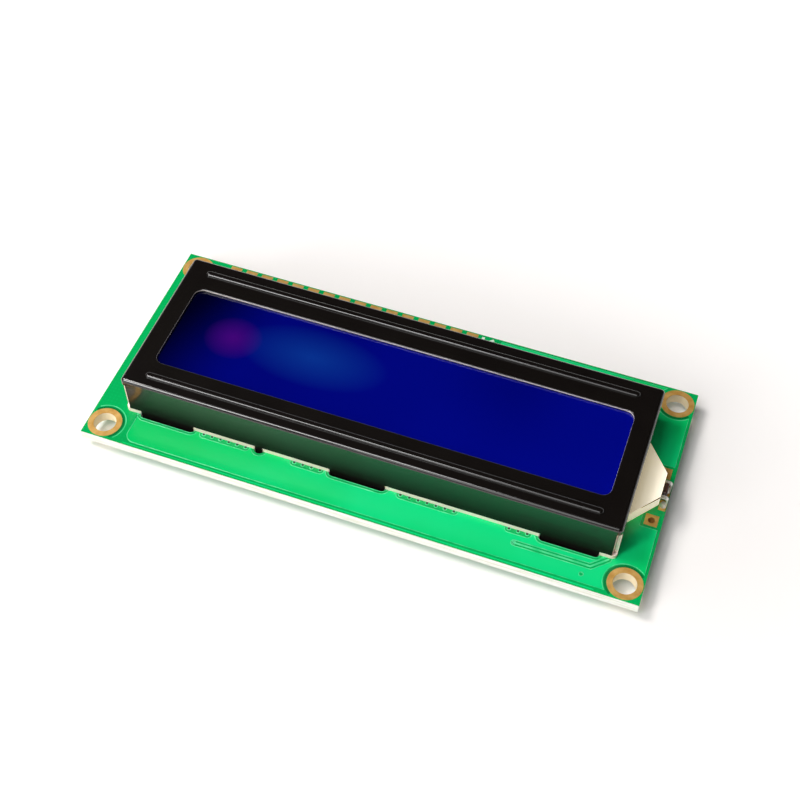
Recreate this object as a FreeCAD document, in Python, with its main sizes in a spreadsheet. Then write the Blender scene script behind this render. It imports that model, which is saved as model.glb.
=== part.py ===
import FreeCAD, Part
import math
import os
import re
import Sketcher

# Character LCD module, 16 x 2, side LED backlight, chip-on-board.
# Frame: origin under the board's centre, on the flats of the two rear epoxy covers.
# +X runs along the 80 mm side towards the light-guide horn, +Y towards the pin row, +Z up.

doc = FreeCAD.newDocument("CharacterLcdModule")

# Driving dimensions in millimetres
SIZES = {
    # Board
    "board_length": 80.0,
    "board_depth": 36.1,
    "board_thickness": 1.6,
    "mount_inset_x": 2.5,
    "mount_inset_y": 2.55,
    "mount_hole": 3.2,
    "mount_land_margin": 0.1,
    "plating": 0.05,
    # Pin row
    "pin_count": 16,
    "pin_pitch": 2.54,
    "pin_side_inset": 8.0,
    "pin_edge_inset": 1.8,
    "pin_hole": 1.0,
    "pin_land_width": 1.75,
    "pin_land_length": 3.2,
    # Backlight terminals and lamp lands
    "terminal_edge_inset": 1.5,
    "terminal_pitch": 8.1,
    "terminal_land": 1.8,
    "terminal_hole": 0.95,
    "lamp_land_length": 1.0,
    "lamp_land_width": 1.7,
    "lamp_land_inset": 0.1,
    # Bezel, placed by its margins to the board's edges
    "bezel_left": 4.4,
    "bezel_right": 4.5,
    "bezel_front": 5.55,
    "bezel_back": 6.15,
    "sheet": 0.45,
    "bend_radius": 0.5,
    "corner_radius": 0.6,
    "corner_relief": 0.65,
    "relief_drop": 1.1,
    "window_side": 2.95,
    "window_front": 4.62,
    "window_back": 5.38,
    "window_radius": 1.3,
    "window_roll": 0.15,
    "bead_end": 3.05,
    "bead_front": 2.05,
    "bead_back": 2.35,
    "bead_width": 1.0,
    "bead_rise": 0.35,
    "bead_round": 0.33,
    "bead_groove": 0.5,
    # Clinched tabs and their slots
    "tab_width": 8.0,
    "tab_end": 6.35,
    "tab_middle_x": -0.7,
    "tab_foot": 2.6,
    "tab_bend": 0.15,
    "locator_x": -15.25,
    "locator_width": 1.1,
    "locator_hole": 1.5,
    "slot_outside": 0.5,
    "slot_inside": 0.4,
    "slot_play": 0.2,
    # Backlight frame
    "rim": 0.75,
    "rail_width": 1.0,
    "end_bar": 1.55,
    "post_width": 0.85,
    "frame_play": 0.05,
    "tab_play": 0.1,
    # Stack, from the board upwards
    "reflector": 0.15,
    "guide_thickness": 3.6,
    "diffuser": 0.15,
    "polariser": 0.2,
    "glass": 1.1,
    "cell_gap": 0.05,
    "glass_play_x": 0.3,
    "glass_play_y": 0.55,
    "cell_ledge": 2.3,
    "guide_play": 0.1,
    "guide_margin": 0.1,
    "film_margin": 0.2,
    "seal_width": 1.0,
    "zebra_play": 0.1,
    "zebra_gap": 0.2,
    # Lamp, and the horn of the light guide that is sized round it
    "lamp_width": 3.0,
    "lamp_depth": 1.4,
    "lamp_height": 1.2,
    "lamp_play": 0.05,
    "horn_wall": 0.45,
    "horn_skin": 0.35,
    "wrap_film": 0.1,
    "horn_base_inset": 0.6,
    "horn_edge_inset": 1.2,
    "horn_shift": -0.55,
    "horn_lift": 0.25,
    "horn_play": 0.2,
    "lead_width": 0.5,
    "lead_thickness": 0.25,
    "lead_bend": 0.35,
    "solder_base": 0.5,
    "solder_tip": 0.3,
    "solder_height": 0.6,
    # Rear of the board
    "blob_height": 1.5,
    "blob_flat": 8.0,
    "blob_y": -0.5,
    "controller_x": -13.5,
    "controller_blob": 15.0,
    "controller_die_x": 4.6,
    "controller_die_y": 4.0,
    "driver_x": 16.5,
    "driver_blob": 13.0,
    "driver_die_x": 3.6,
    "driver_die_y": 3.2,
    "die_thickness": 0.4,
    "chip_foot_gap": 1.0,
    "chip_width": 1.25,
    "chip_length": 2.0,
    "chip_cap": 0.35,
    "cap_lip": 0.05,
    "resistor_count": 5,
    "resistor_pitch": 3.0,
    "resistor_x": -4.0,
    "resistor_height": 0.5,
    "capacitor_count": 3,
    "capacitor_pitch": 3.5,
    "capacitor_inset": 9.5,
    "capacitor_height": 0.8,
}

sheet = doc.addObject("Spreadsheet::Sheet", "Sizes")
for row, (alias, value) in enumerate(SIZES.items(), start=1):
    sheet.set(f"A{row}", alias)
    sheet.set(f"B{row}", str(value))
    sheet.setAlias(f"B{row}", alias)
doc.recompute()

ALIAS = re.compile(r"\b(" + "|".join(SIZES) + r")\b")
UP = FreeCAD.Vector(0, 0, 1)
TOLERANCE = 1e-4


def bind(item, prop, text):
    """Ties a property to an expression written with the names of the sheet."""
    item.setExpression(prop, ALIAS.sub(r"Sizes.\1", text))


def value(text):
    """Works out an expression with the sheet's present sizes."""
    return float(sheet.evalExpression(ALIAS.sub(r"Sizes.\1", text)))


def point(x, y):
    """Gives the point of a sketch at two expressions."""
    return FreeCAD.Vector(value(x), value(y), 0)


# Heights of the stack above the board's top face
GUIDE_TOP = "(reflector + guide_thickness)"
REAR_POLARISER_Z = f"({GUIDE_TOP} + diffuser)"
REAR_GLASS_Z = f"({REAR_POLARISER_Z} + polariser)"
CELL_GAP_Z = f"({REAR_GLASS_Z} + glass)"
FRONT_GLASS_Z = f"({CELL_GAP_Z} + cell_gap)"
FRONT_POLARISER_Z = f"({FRONT_GLASS_Z} + glass)"
CELL_TOP = f"({FRONT_POLARISER_Z} + polariser)"
BEZEL_TOP = f"({CELL_TOP} + sheet)"
BOARD_TOP = "(blob_height + board_thickness)"

# The display's centre on the board, and the bezel and glass that follow from the margins
DISPLAY_X = "((bezel_left - bezel_right) / 2)"
DISPLAY_Y = "((bezel_front - bezel_back) / 2)"
BEZEL_LENGTH = "(board_length - bezel_left - bezel_right)"
BEZEL_DEPTH = "(board_depth - bezel_front - bezel_back)"
BEZEL_FACE = f"({BEZEL_LENGTH} / 2)"
WALL_FACE = f"({BEZEL_DEPTH} / 2)"
GLASS_LENGTH = f"({BEZEL_LENGTH} - 2 * (sheet + glass_play_x))"
GLASS_DEPTH = f"({BEZEL_DEPTH} - 2 * (sheet + glass_play_y))"
REAR_GLASS_DEPTH = f"({GLASS_DEPTH} - 2 * cell_ledge)"

# The backlight frame's inner and outer limits, and what lies inside them
RAIL_INNER = f"({WALL_FACE} - rail_width)"
END_INNER = f"({BEZEL_FACE} - end_bar)"
END_OUTER = f"({BEZEL_FACE} - sheet - frame_play)"
POST_OUTER = f"({WALL_FACE} - sheet - frame_play)"
GUIDE_LENGTH = f"(2 * ({END_INNER} - guide_play))"
GUIDE_DEPTH = f"({REAR_GLASS_DEPTH} - 2 * guide_margin)"
FILM_LENGTH = f"({GUIDE_LENGTH} - 2 * film_margin)"
FILM_DEPTH = f"({GUIDE_DEPTH} - 2 * film_margin)"
ZEBRA_LENGTH = f"({GUIDE_LENGTH} - 2 * zebra_play)"
ZEBRA_OUTER = f"({RAIL_INNER} - zebra_play)"
ZEBRA_INNER = f"({REAR_GLASS_DEPTH} / 2 + zebra_gap)"

# The horn, from the plate's end to the lamp in its tip near the board's edge
HORN_TIP = "(lamp_width + 2 * (lamp_play + horn_wall))"
HORN_HEIGHT = "(lamp_height + 2 * (lamp_play + horn_skin))"
HORN_BOTTOM = "(rim + horn_lift)"
HORN_MIDDLE = f"({HORN_BOTTOM} + {HORN_HEIGHT} / 2)"
HORN_START = f"({GUIDE_LENGTH} / 2)"
HORN_END = f"(board_length / 2 - {DISPLAY_X} - horn_edge_inset)"
HORN_BASE = f"({GUIDE_DEPTH} - 2 * horn_base_inset)"
HORN_SLOPE = f"(({HORN_BASE} - {HORN_TIP}) / 2 / ({HORN_END} - {HORN_START}))"
LAMP_Y = f"({DISPLAY_Y} + horn_shift)"
LEAD_STEP = "(lamp_width - lead_width) / 2"
LEAD_OUT = f"(board_length / 2 - {DISPLAY_X} - lamp_land_inset)"

TAB_OUTER_X = f"({BEZEL_FACE} - tab_end)"
TAB_PLACES = (f"-1 * {TAB_OUTER_X}", "tab_middle_x", TAB_OUTER_X)

subparts = []


def place(item, x="", y="", z=""):
    """Binds the parts of an object's position that differ from zero."""
    for axis, text in (("x", x), ("y", y), ("z", z)):
        if text:
            bind(item, f"Placement.Base.{axis}", text)


def register(item, label):
    """Names a finished sub-part after its node."""
    item.Label = label
    subparts.append(item)
    return item


def new_body(label, x="", y="", z=""):
    """Starts a sub-part made of sketches and features; it may hold several solids."""
    body = doc.addObject("PartDesign::Body", label)
    body.AllowCompound = True
    place(body, x, y, z)
    return register(body, label)


def origin_plane(body, role):
    """Finds one of the body's own origin planes."""
    return next(item for item in body.Origin.OriginFeatures if item.Role == role)


def new_sketch(body, name, role="XY_Plane", lift=""):
    """Adds a sketch on an origin plane, moved along that plane's normal by lift."""
    sketch = body.newObject("Sketcher::SketchObject", name)
    sketch.AttachmentSupport = [(origin_plane(body, role), "")]
    sketch.MapMode = "FlatFace"
    if lift:
        bind(sketch, "AttachmentOffset.Base.z", lift)
    return sketch


def dimension(sketch, kind, refs, text):
    """Adds a named dimension to a sketch and ties it to the sheet."""
    index = sketch.addConstraint(Sketcher.Constraint(kind, *refs, value(text)))
    name = f"size_{index}"
    sketch.renameConstraint(index, name)
    bind(sketch, f"Constraints.{name}", text)


def pin_point(sketch, line, vertex, x, y):
    """Holds a point of the sketch at x, y from the sketch's origin."""
    dimension(sketch, "DistanceX", (-1, 1, line, vertex), x)
    dimension(sketch, "DistanceY", (-1, 1, line, vertex), y)


def polygon(sketch, corners):
    """Draws a closed outline through corners, a list of x and y expressions in turn."""
    points = [point(x, y) for x, y in corners]
    lines = []
    for start, end in zip(points, points[1:] + points[:1]):
        lines.append(sketch.addGeometry(Part.LineSegment(start, end)))
    for before, line, (x, y) in zip(lines[-1:] + lines[:-1], lines, corners):
        sketch.addConstraint(Sketcher.Constraint("Coincident", before, 2, line, 1))
        pin_point(sketch, line, 1, x, y)


def rectangle(sketch, x, y, length, depth):
    """Draws a rectangle about the centre x, y."""
    left, right = f"{x} - ({length}) / 2", f"{x} + ({length}) / 2"
    low, high = f"{y} - ({depth}) / 2", f"{y} + ({depth}) / 2"
    polygon(sketch, [(left, low), (right, low), (right, high), (left, high)])


def circle(sketch, x, y, diameter):
    """Draws a circle about the centre x, y."""
    index = sketch.addGeometry(Part.Circle(point(x, y), UP, value(diameter) / 2))
    pin_point(sketch, index, 3, x, y)
    dimension(sketch, "Diameter", (index,), diameter)


def oblong(sketch, x, y, length, width, upright=False):
    """Draws a slot with round ends about x, y, along X or, if upright, along Y."""
    quarter = math.pi / 2
    radius = value(width) / 2
    turn = quarter if upright else 0.0
    spin = FreeCAD.Rotation(UP, math.degrees(turn))
    along = spin.multVec(FreeCAD.Vector(value(length) / 2 - radius, 0, 0))
    across = spin.multVec(FreeCAD.Vector(0, radius, 0))
    middle = point(x, y)
    arcs = []
    for centre, begin in ((middle - along, turn + quarter), (middle + along, turn - quarter)):
        ring = Part.Circle(centre, UP, radius)
        arcs.append(sketch.addGeometry(Part.ArcOfCircle(ring, begin, begin + 2 * quarter)))
    left, right = arcs
    lines = []
    for side in (-across, across):
        line = Part.LineSegment(middle - along + side, middle + along + side)
        lines.append(sketch.addGeometry(line))
    low, high = lines
    for pair in ((left, 2, low, 1), (low, 2, right, 1), (right, 2, high, 2), (high, 1, left, 1)):
        sketch.addConstraint(Sketcher.Constraint("Tangent", *pair))
    direction, kind = ("Vertical", "DistanceY") if upright else ("Horizontal", "DistanceX")
    sketch.addConstraint(Sketcher.Constraint(direction, low))
    sketch.addConstraint(Sketcher.Constraint("Equal", left, right))
    reach = f"(({length}) - ({width})) / 2"
    dimension(sketch, "Radius", (left,), f"({width}) / 2")
    start = (x, f"{y} - {reach}") if upright else (f"{x} - {reach}", y)
    pin_point(sketch, left, 3, *start)
    dimension(sketch, kind, (left, 3, right, 3), f"2 * {reach}")


def pad(body, sketch, length, midplane=False, down=False):
    """Adds material on a sketch."""
    feature = body.newObject("PartDesign::Pad", f"{sketch.Name}_pad")
    feature.Profile = sketch
    feature.Midplane = midplane
    feature.Reversed = down
    bind(feature, "Length", length)
    return feature


def pocket(body, sketch, length, up=True):
    """Cuts a sketch into the body, upwards from its plane or downwards."""
    feature = body.newObject("PartDesign::Pocket", f"{sketch.Name}_pocket")
    feature.Profile = sketch
    feature.Reversed = up
    bind(feature, "Length", length)
    return feature


def edges_where(feature, test):
    """Names the straight edges of a feature whose two ends pass a test."""
    names = []
    for number, edge in enumerate(feature.Shape.Edges, start=1):
        if edge.Curve.TypeId == "Part::GeomLine" and len(edge.Vertexes) == 2:
            if test(*(vertex.Point for vertex in edge.Vertexes)):
                names.append(f"Edge{number}")
    return names


def fillet(body, feature, edges, radius):
    """Rounds the named edges of a feature."""
    rounding = body.newObject("PartDesign::Fillet", f"{feature.Name}_round")
    rounding.Base = (feature, edges)
    bind(rounding, "Radius", radius)
    return rounding


def row_of(body, originals, count, pitch):
    """Repeats features along X, count times at one pitch."""
    pattern = body.newObject("PartDesign::LinearPattern", f"{originals[0].Name}_row")
    pattern.Originals = originals
    axis = next(item for item in body.Origin.OriginFeatures if item.Role == "X_Axis")
    pattern.Direction = (axis, [""])
    bind(pattern, "Occurrences", count)
    bind(pattern, "Length", f"({count} - 1) * {pitch}")
    body.Tip = pattern
    return pattern


def plate(label, length, depth, thickness, z, y=""):
    """Makes a flat rectangular piece of the display stack, centred on the display."""
    box = doc.addObject("Part::Box", label)
    bind(box, "Length", length)
    bind(box, "Width", depth)
    bind(box, "Height", thickness)
    shift = f" + {y}" if y else ""
    place(
        box,
        f"{DISPLAY_X} - ({length}) / 2",
        f"{DISPLAY_Y} - ({depth}) / 2{shift}",
        f"{BOARD_TOP} + {z}",
    )
    return box


def same(*lengths):
    """Tells whether lengths are equal within the tolerance."""
    return max(lengths) - min(lengths) < TOLERANCE


def is_upright(start, end):
    """Tells whether an edge is parallel to Z."""
    return same(start.x, end.x) and same(start.y, end.y)


# Circuit board: glass-epoxy panel with drilled holes and milled slots
PIN_ROW_X = "(pin_side_inset - board_length / 2)"
PIN_ROW_Y = "(board_depth / 2 - pin_edge_inset)"
TERMINAL_X = "(board_length / 2 - terminal_edge_inset)"
SLOT_LENGTH = "(tab_width + 2 * slot_play)"
SLOT_WIDTH = "(slot_outside + sheet + slot_inside)"
SLOT_Y = f"({WALL_FACE} + slot_outside - {SLOT_WIDTH} / 2)"
LOCATOR_Y = f"({WALL_FACE} - sheet / 2)"
SIDES = ("-", "")


def mounting_places():
    """X and Y expressions of the four corner holes."""
    x, y = "(board_length / 2 - mount_inset_x)", "(board_depth / 2 - mount_inset_y)"
    return [(f"{a}{x}", f"{b}{y}") for a in SIDES for b in SIDES]


def terminal_places():
    """X and Y expressions of the two backlight terminals."""
    return [(TERMINAL_X, f"{LAMP_Y} {sign} terminal_pitch / 2") for sign in "+-"]


board = new_body("circuit_board", z="blob_height")
outline = new_sketch(board, "board_outline")
rectangle(outline, "0", "0", "board_length", "board_depth")
pad(board, outline, "board_thickness")
doc.recompute()

drilling = new_sketch(board, "board_drilling")
for x, y in mounting_places():
    circle(drilling, x, y, "mount_hole + 2 * plating")
for x, y in terminal_places():
    circle(drilling, x, y, "terminal_hole + 2 * plating")
for side in SIDES:
    x, y = f"{DISPLAY_X} + locator_x", f"{DISPLAY_Y} + {side}{LOCATOR_Y}"
    circle(drilling, x, y, "locator_hole")
pocket(board, drilling, "board_thickness")

slots = new_sketch(board, "board_slots")
for x in TAB_PLACES:
    for side in SIDES:
        slot_x, slot_y = f"{DISPLAY_X} + {x}", f"{DISPLAY_Y} + {side}{SLOT_Y}"
        oblong(slots, slot_x, slot_y, SLOT_LENGTH, SLOT_WIDTH)
pocket(board, slots, "board_thickness")

pin_drilling = new_sketch(board, "board_pin_drilling")
circle(pin_drilling, PIN_ROW_X, PIN_ROW_Y, "pin_hole + 2 * plating")
pin_bore = pocket(board, pin_drilling, "board_thickness")
row_of(board, [pin_bore], "pin_count", "pin_pitch")


# Plated-through lands: a land on each face, joined by the plating of the hole
def plated_lands(label, draw_lands, draw_holes, draw_barrels):
    """Makes lands on both faces of the board and the barrels between them."""
    body = new_body(label, z="blob_height")
    features = []
    for name, lift, height in (
        ("rear", "-plating", "plating"),
        ("front", "board_thickness", "plating"),
    ):
        sketch = new_sketch(body, f"{label}_{name}", lift=lift)
        draw_lands(sketch)
        draw_holes(sketch)
        features.append(pad(body, sketch, height))
    sketch = new_sketch(body, f"{label}_barrel")
    draw_barrels(sketch)
    draw_holes(sketch)
    features.append(pad(body, sketch, "board_thickness"))
    return body, features


def circles_at(places, diameter):
    """Gives a function that draws one circle at each place."""

    def draw(sketch):
        for x, y in places:
            circle(sketch, x, y, diameter)

    return draw


def terminal_squares(sketch):
    """Draws the square lands of the backlight terminals."""
    for x, y in terminal_places():
        rectangle(sketch, x, y, "terminal_land", "terminal_land")


def pin_land(sketch):
    """Draws the long land of the first pin."""
    rectangle(sketch, PIN_ROW_X, PIN_ROW_Y, "pin_land_width", "pin_land_length")


PIN_PLACE = [(PIN_ROW_X, PIN_ROW_Y)]
MOUNT_LAND = "2 * (mount_inset_x - mount_land_margin)"
plated_lands(
    "mounting_lands",
    circles_at(mounting_places(), MOUNT_LAND),
    circles_at(mounting_places(), "mount_hole"),
    circles_at(mounting_places(), "mount_hole + 2 * plating"),
)
plated_lands(
    "backlight_lands",
    terminal_squares,
    circles_at(terminal_places(), "terminal_hole"),
    circles_at(terminal_places(), "terminal_hole + 2 * plating"),
)
pin_body, pin_features = plated_lands(
    "header_lands",
    pin_land,
    circles_at(PIN_PLACE, "pin_hole"),
    circles_at(PIN_PLACE, "pin_hole + 2 * plating"),
)
row_of(pin_body, pin_features, "pin_count", "pin_pitch")

# Lamp lands: two flat lands at the board's right edge
LAMP_LAND_X = "(board_length / 2 - lamp_land_inset - lamp_land_length / 2)"
lamp_lands = new_body("led_lands", z=BOARD_TOP)
land_sketch = new_sketch(lamp_lands, "lamp_land")
for sign in "+-":
    rectangle(
        land_sketch,
        LAMP_LAND_X,
        f"{LAMP_Y} {sign} {LEAD_STEP}",
        "lamp_land_length",
        "lamp_land_width",
    )
pad(lamp_lands, land_sketch, "plating")


# Bezel: one stamped sheet, drawn over the cell, its tabs clinched under the board
def horn_outline(sketch, grow, start, end):
    """Draws the tapered outline of the horn, grown sideways and cut off at start and end."""
    corners = []
    for x, side in ((start, "-"), (end, "-"), (end, "+"), (start, "+")):
        half = f"({HORN_BASE} / 2 - {HORN_SLOPE} * ({x} - {HORN_START}) + {grow})"
        corners.append((x, f"horn_shift {side} {half}"))
    polygon(sketch, corners)


bezel = new_body("bezel", DISPLAY_X, DISPLAY_Y, BOARD_TOP)
blank = new_sketch(bezel, "bezel_blank", lift="rim")
rectangle(blank, "0", "0", BEZEL_LENGTH, BEZEL_DEPTH)
shell = pad(bezel, blank, f"{BEZEL_TOP} - rim")
doc.recompute()
shell = fillet(bezel, shell, edges_where(shell, is_upright), "corner_radius")
doc.recompute()
top = shell.Shape.BoundBox.ZMax
shell = fillet(
    bezel,
    shell,
    edges_where(shell, lambda start, end: same(start.z, end.z, top)),
    "bend_radius",
)
doc.recompute()
bottom = min(shell.Shape.Faces, key=lambda face: face.CenterOfMass.z)
number = next(i for i, face in enumerate(shell.Shape.Faces, start=1) if face.isSame(bottom))
hollow = bezel.newObject("PartDesign::Thickness", "bezel_hollow")
hollow.Base = (shell, [f"Face{number}"])
hollow.Reversed = True
hollow.Mode = 0
hollow.Join = 0
bind(hollow, "Value", "sheet")

WINDOW_END = f"({BEZEL_FACE} - window_side)"
window = new_sketch(bezel, "bezel_window", lift=CELL_TOP)
window_depth = f"({BEZEL_DEPTH} - window_front - window_back)"
window_y = "(window_front - window_back) / 2"
rectangle(window, "0", window_y, f"2 * {WINDOW_END}", window_depth)
opening = pocket(bezel, window, "sheet + bead_rise")
doc.recompute()
half_window = value(WINDOW_END)
wall_face = value(WALL_FACE)


def is_window_corner(start, end):
    """Tells whether an edge is one of the four upright corners of the window."""
    return is_upright(start, end) and same(abs(start.x), half_window)


opening = fillet(bezel, opening, edges_where(opening, is_window_corner), "window_radius")
doc.recompute()


def is_window_rim(start, end):
    """Tells whether an edge lies round the window on the bezel's top face."""
    inside = max(abs(start.x), abs(end.x)) < half_window + TOLERANCE
    return same(start.z, end.z, top) and inside and not same(start.y, end.y, wall_face)


fillet(bezel, opening, edges_where(opening, is_window_rim), "window_roll")

relief = new_sketch(bezel, "bezel_relief", lift="rim")
for x_side in SIDES:
    for y_side in SIDES:
        rectangle(
            relief,
            f"{x_side}{BEZEL_FACE}",
            f"{y_side}{WALL_FACE}",
            "2 * corner_relief",
            "2 * corner_relief",
        )
pocket(bezel, relief, f"{BEZEL_TOP} - rim - relief_drop")

mouth = new_sketch(bezel, "bezel_horn_mouth", lift="rim")
horn_outline(mouth, "horn_play", f"({BEZEL_FACE} - 2 * sheet)", f"({BEZEL_FACE} + sheet)")
pocket(bezel, mouth, f"{HORN_BOTTOM} + {HORN_HEIGHT} + horn_play - rim")

TAB_TOP = "(rim + sheet)"
TAB_BOTTOM = "(-board_thickness - sheet)"
FOOT_END = f"({WALL_FACE} - tab_foot)"
tabs = []
for index, x in enumerate(TAB_PLACES):
    profile = new_sketch(bezel, f"bezel_tab_{index}", "YZ_Plane", lift=x)
    polygon(
        profile,
        [
            (f"-{WALL_FACE}", TAB_TOP),
            (f"-{WALL_FACE}", TAB_BOTTOM),
            (f"-{FOOT_END}", TAB_BOTTOM),
            (f"-{FOOT_END}", "-board_thickness"),
            (f"sheet - {WALL_FACE}", "-board_thickness"),
            (f"sheet - {WALL_FACE}", TAB_TOP),
        ],
    )
    tabs.append(pad(bezel, profile, "tab_width", midplane=True))
locator = new_sketch(bezel, "bezel_locator", lift="-board_thickness")
rectangle(locator, "locator_x", f"-{LOCATOR_Y}", "locator_width", "sheet")
tabs.append(pad(bezel, locator, f"board_thickness + {TAB_TOP}"))
mirrored = bezel.newObject("PartDesign::Mirrored", "bezel_back_tabs")
mirrored.Originals = tabs
mirrored.MirrorPlane = (origin_plane(bezel, "XZ_Plane"), [""])
bezel.Tip = mirrored
doc.recompute()

board_back = value("-board_thickness")
under = value(TAB_BOTTOM)
wall_inside = value(f"{WALL_FACE} - sheet")


def is_outer_bend(start, end):
    """Tells whether an edge is the outer corner of a clinched tab."""
    return same(start.z, end.z, under) and same(abs(start.y), abs(end.y), wall_face)


def is_inner_bend(start, end):
    """Tells whether an edge is the inner corner of a clinched tab."""
    level = same(start.z, end.z, board_back) and same(abs(start.y), wall_inside)
    return level and abs(start.x - end.x) > value("locator_width + sheet")


bent = fillet(bezel, mirrored, edges_where(mirrored, is_outer_bend), "tab_bend + sheet")
doc.recompute()
bent = fillet(bezel, bent, edges_where(bent, is_inner_bend), "tab_bend")

# Stiffening beads: pressed up from below, so each rib has a groove under it
BEAD_LENGTH = f"(2 * ({BEZEL_FACE} - bead_end))"
BEAD_ROWS = (f"(bead_front - {WALL_FACE})", f"({WALL_FACE} - bead_back)")
ribs = new_sketch(bezel, "bezel_ribs", lift=BEZEL_TOP)
for y in BEAD_ROWS:
    oblong(ribs, "0", y, BEAD_LENGTH, "bead_width")
ribs = pad(bezel, ribs, "bead_rise")
doc.recompute()
rib_top = ribs.Shape.BoundBox.ZMax
ribs = fillet(
    bezel,
    ribs,
    edges_where(ribs, lambda start, end: same(start.z, end.z, rib_top)),
    "bead_round",
)
grooves = new_sketch(bezel, "bezel_grooves", lift=CELL_TOP)
for y in BEAD_ROWS:
    oblong(grooves, "0", y, f"{BEAD_LENGTH} - bead_groove", "bead_groove")
pocket(bezel, grooves, "bead_rise")

# Backlight frame: white moulding whose rim the bezel stands on, with end bars and corner posts
holder = new_body("backlight_frame", DISPLAY_X, DISPLAY_Y, BOARD_TOP)
rim_sketch = new_sketch(holder, "frame_rim")
rectangle(rim_sketch, "0", "0", BEZEL_LENGTH, BEZEL_DEPTH)
rim = pad(holder, rim_sketch, "rim")
doc.recompute()
fillet(holder, rim, edges_where(rim, is_upright), "corner_radius")
well = new_sketch(holder, "frame_well")
rectangle(well, "0", "0", f"2 * {END_INNER}", f"2 * {RAIL_INNER}")
pocket(holder, well, "rim")
tab_room = new_sketch(holder, "frame_tab_room")
for side in SIDES:
    for x in TAB_PLACES:
        rectangle(
            tab_room,
            x,
            f"{side}{WALL_FACE}",
            "tab_width + 2 * tab_play",
            "2 * (sheet + tab_play)",
        )
    rectangle(
        tab_room,
        "locator_x",
        f"{side}{WALL_FACE}",
        "locator_width + 2 * tab_play",
        "2 * (sheet + tab_play)",
    )
pocket(holder, tab_room, "rim")
bars = new_sketch(holder, "frame_end_bars", lift="rim")
for side in SIDES:
    rectangle(
        bars,
        f"{side}({END_INNER} + {END_OUTER}) / 2",
        "0",
        f"{END_OUTER} - {END_INNER}",
        f"2 * {RAIL_INNER}",
    )
pad(holder, bars, f"{GUIDE_TOP} - rim")
gate = new_sketch(holder, "frame_horn_gate", lift="rim")
horn_outline(gate, "horn_play", f"({END_INNER} - horn_play)", f"({END_OUTER} + horn_play)")
pocket(holder, gate, GUIDE_TOP)
posts = new_sketch(holder, "frame_posts", lift="rim")
for x_side in SIDES:
    for y_side in SIDES:
        rectangle(
            posts,
            f"{x_side}({END_OUTER} - post_width / 2)",
            f"{y_side}({POST_OUTER} - post_width / 2)",
            "post_width",
            "post_width",
        )
posts = pad(holder, posts, f"{CELL_GAP_Z} - rim")
doc.recompute()
frame_end = value(END_OUTER)
post_end = value(POST_OUTER)


def is_post_corner(start, end):
    """Tells whether an edge is the outer upright corner of a post."""
    at_corner = same(abs(start.x), frame_end) and same(abs(start.y), post_end)
    return is_upright(start, end) and at_corner


fillet(holder, posts, edges_where(posts, is_post_corner), "corner_radius - sheet")

# Light guide: acrylic plate with a tapered horn that takes the lamp in its tip
FILM_SIDE = f"(wrap_film * sqrt(1 + {HORN_SLOPE} * {HORN_SLOPE}))"
guide = new_body("light_guide", DISPLAY_X, DISPLAY_Y, BOARD_TOP)
guide_plate = new_sketch(guide, "guide_plate", lift="reflector")
rectangle(guide_plate, "0", "0", GUIDE_LENGTH, GUIDE_DEPTH)
pad(guide, guide_plate, "guide_thickness")
horn = new_sketch(guide, "guide_horn", lift=f"{HORN_BOTTOM} + wrap_film")
horn_outline(horn, f"-{FILM_SIDE}", HORN_START, HORN_END)
pad(guide, horn, f"{HORN_HEIGHT} - 2 * wrap_film")
lamp_seat = new_sketch(guide, "guide_lamp_seat", lift=f"{HORN_MIDDLE} - lamp_height / 2 - lamp_play")
rectangle(
    lamp_seat,
    HORN_END,
    "horn_shift",
    "2 * (lamp_depth + lamp_play)",
    "lamp_width + 2 * lamp_play",
)
pocket(guide, lamp_seat, "lamp_height + 2 * lamp_play")

# Wrap: thin white film round the horn, open at the lamp end
wrap = new_body("guide_wrap", DISPLAY_X, DISPLAY_Y, BOARD_TOP)
wrap_outside = new_sketch(wrap, "wrap_outside", lift=HORN_BOTTOM)
horn_outline(wrap_outside, "0", f"({HORN_START} + horn_play)", HORN_END)
pad(wrap, wrap_outside, HORN_HEIGHT)
wrap_inside = new_sketch(wrap, "wrap_inside", lift=f"{HORN_BOTTOM} + wrap_film")
horn_outline(wrap_inside, f"-{FILM_SIDE}", f"({HORN_START} - horn_play)", f"({HORN_END} + horn_play)")
pocket(wrap, wrap_inside, f"{HORN_HEIGHT} - 2 * wrap_film")

# Flat pieces of the stack
for label, length, depth, thickness, z in (
    ("reflector_film", GUIDE_LENGTH, GUIDE_DEPTH, "reflector", "0"),
    ("diffuser_film", FILM_LENGTH, FILM_DEPTH, "diffuser", GUIDE_TOP),
    ("rear_polariser", FILM_LENGTH, FILM_DEPTH, "polariser", REAR_POLARISER_Z),
    ("rear_glass", GLASS_LENGTH, REAR_GLASS_DEPTH, "glass", REAR_GLASS_Z),
    ("front_glass", GLASS_LENGTH, GLASS_DEPTH, "glass", FRONT_GLASS_Z),
    ("front_polariser", FILM_LENGTH, FILM_DEPTH, "polariser", FRONT_POLARISER_Z),
):
    register(plate(label, length, depth, thickness, z), label)

# Cell seal: a frame of adhesive between the glasses, with the liquid crystal inside it
INNER_LENGTH = f"({GLASS_LENGTH} - 2 * seal_width)"
INNER_DEPTH = f"({REAR_GLASS_DEPTH} - 2 * seal_width)"
seal_block = plate("seal_block", GLASS_LENGTH, REAR_GLASS_DEPTH, "cell_gap", CELL_GAP_Z)
seal_room = plate("seal_room", INNER_LENGTH, INNER_DEPTH, "cell_gap", CELL_GAP_Z)
seal = doc.addObject("Part::Cut", "cell_seal")
seal.Base = seal_block
seal.Tool = seal_room
register(seal, "cell_seal")
crystal = plate("liquid_crystal", INNER_LENGTH, INNER_DEPTH, "cell_gap", CELL_GAP_Z)
register(crystal, "liquid_crystal")

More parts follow.
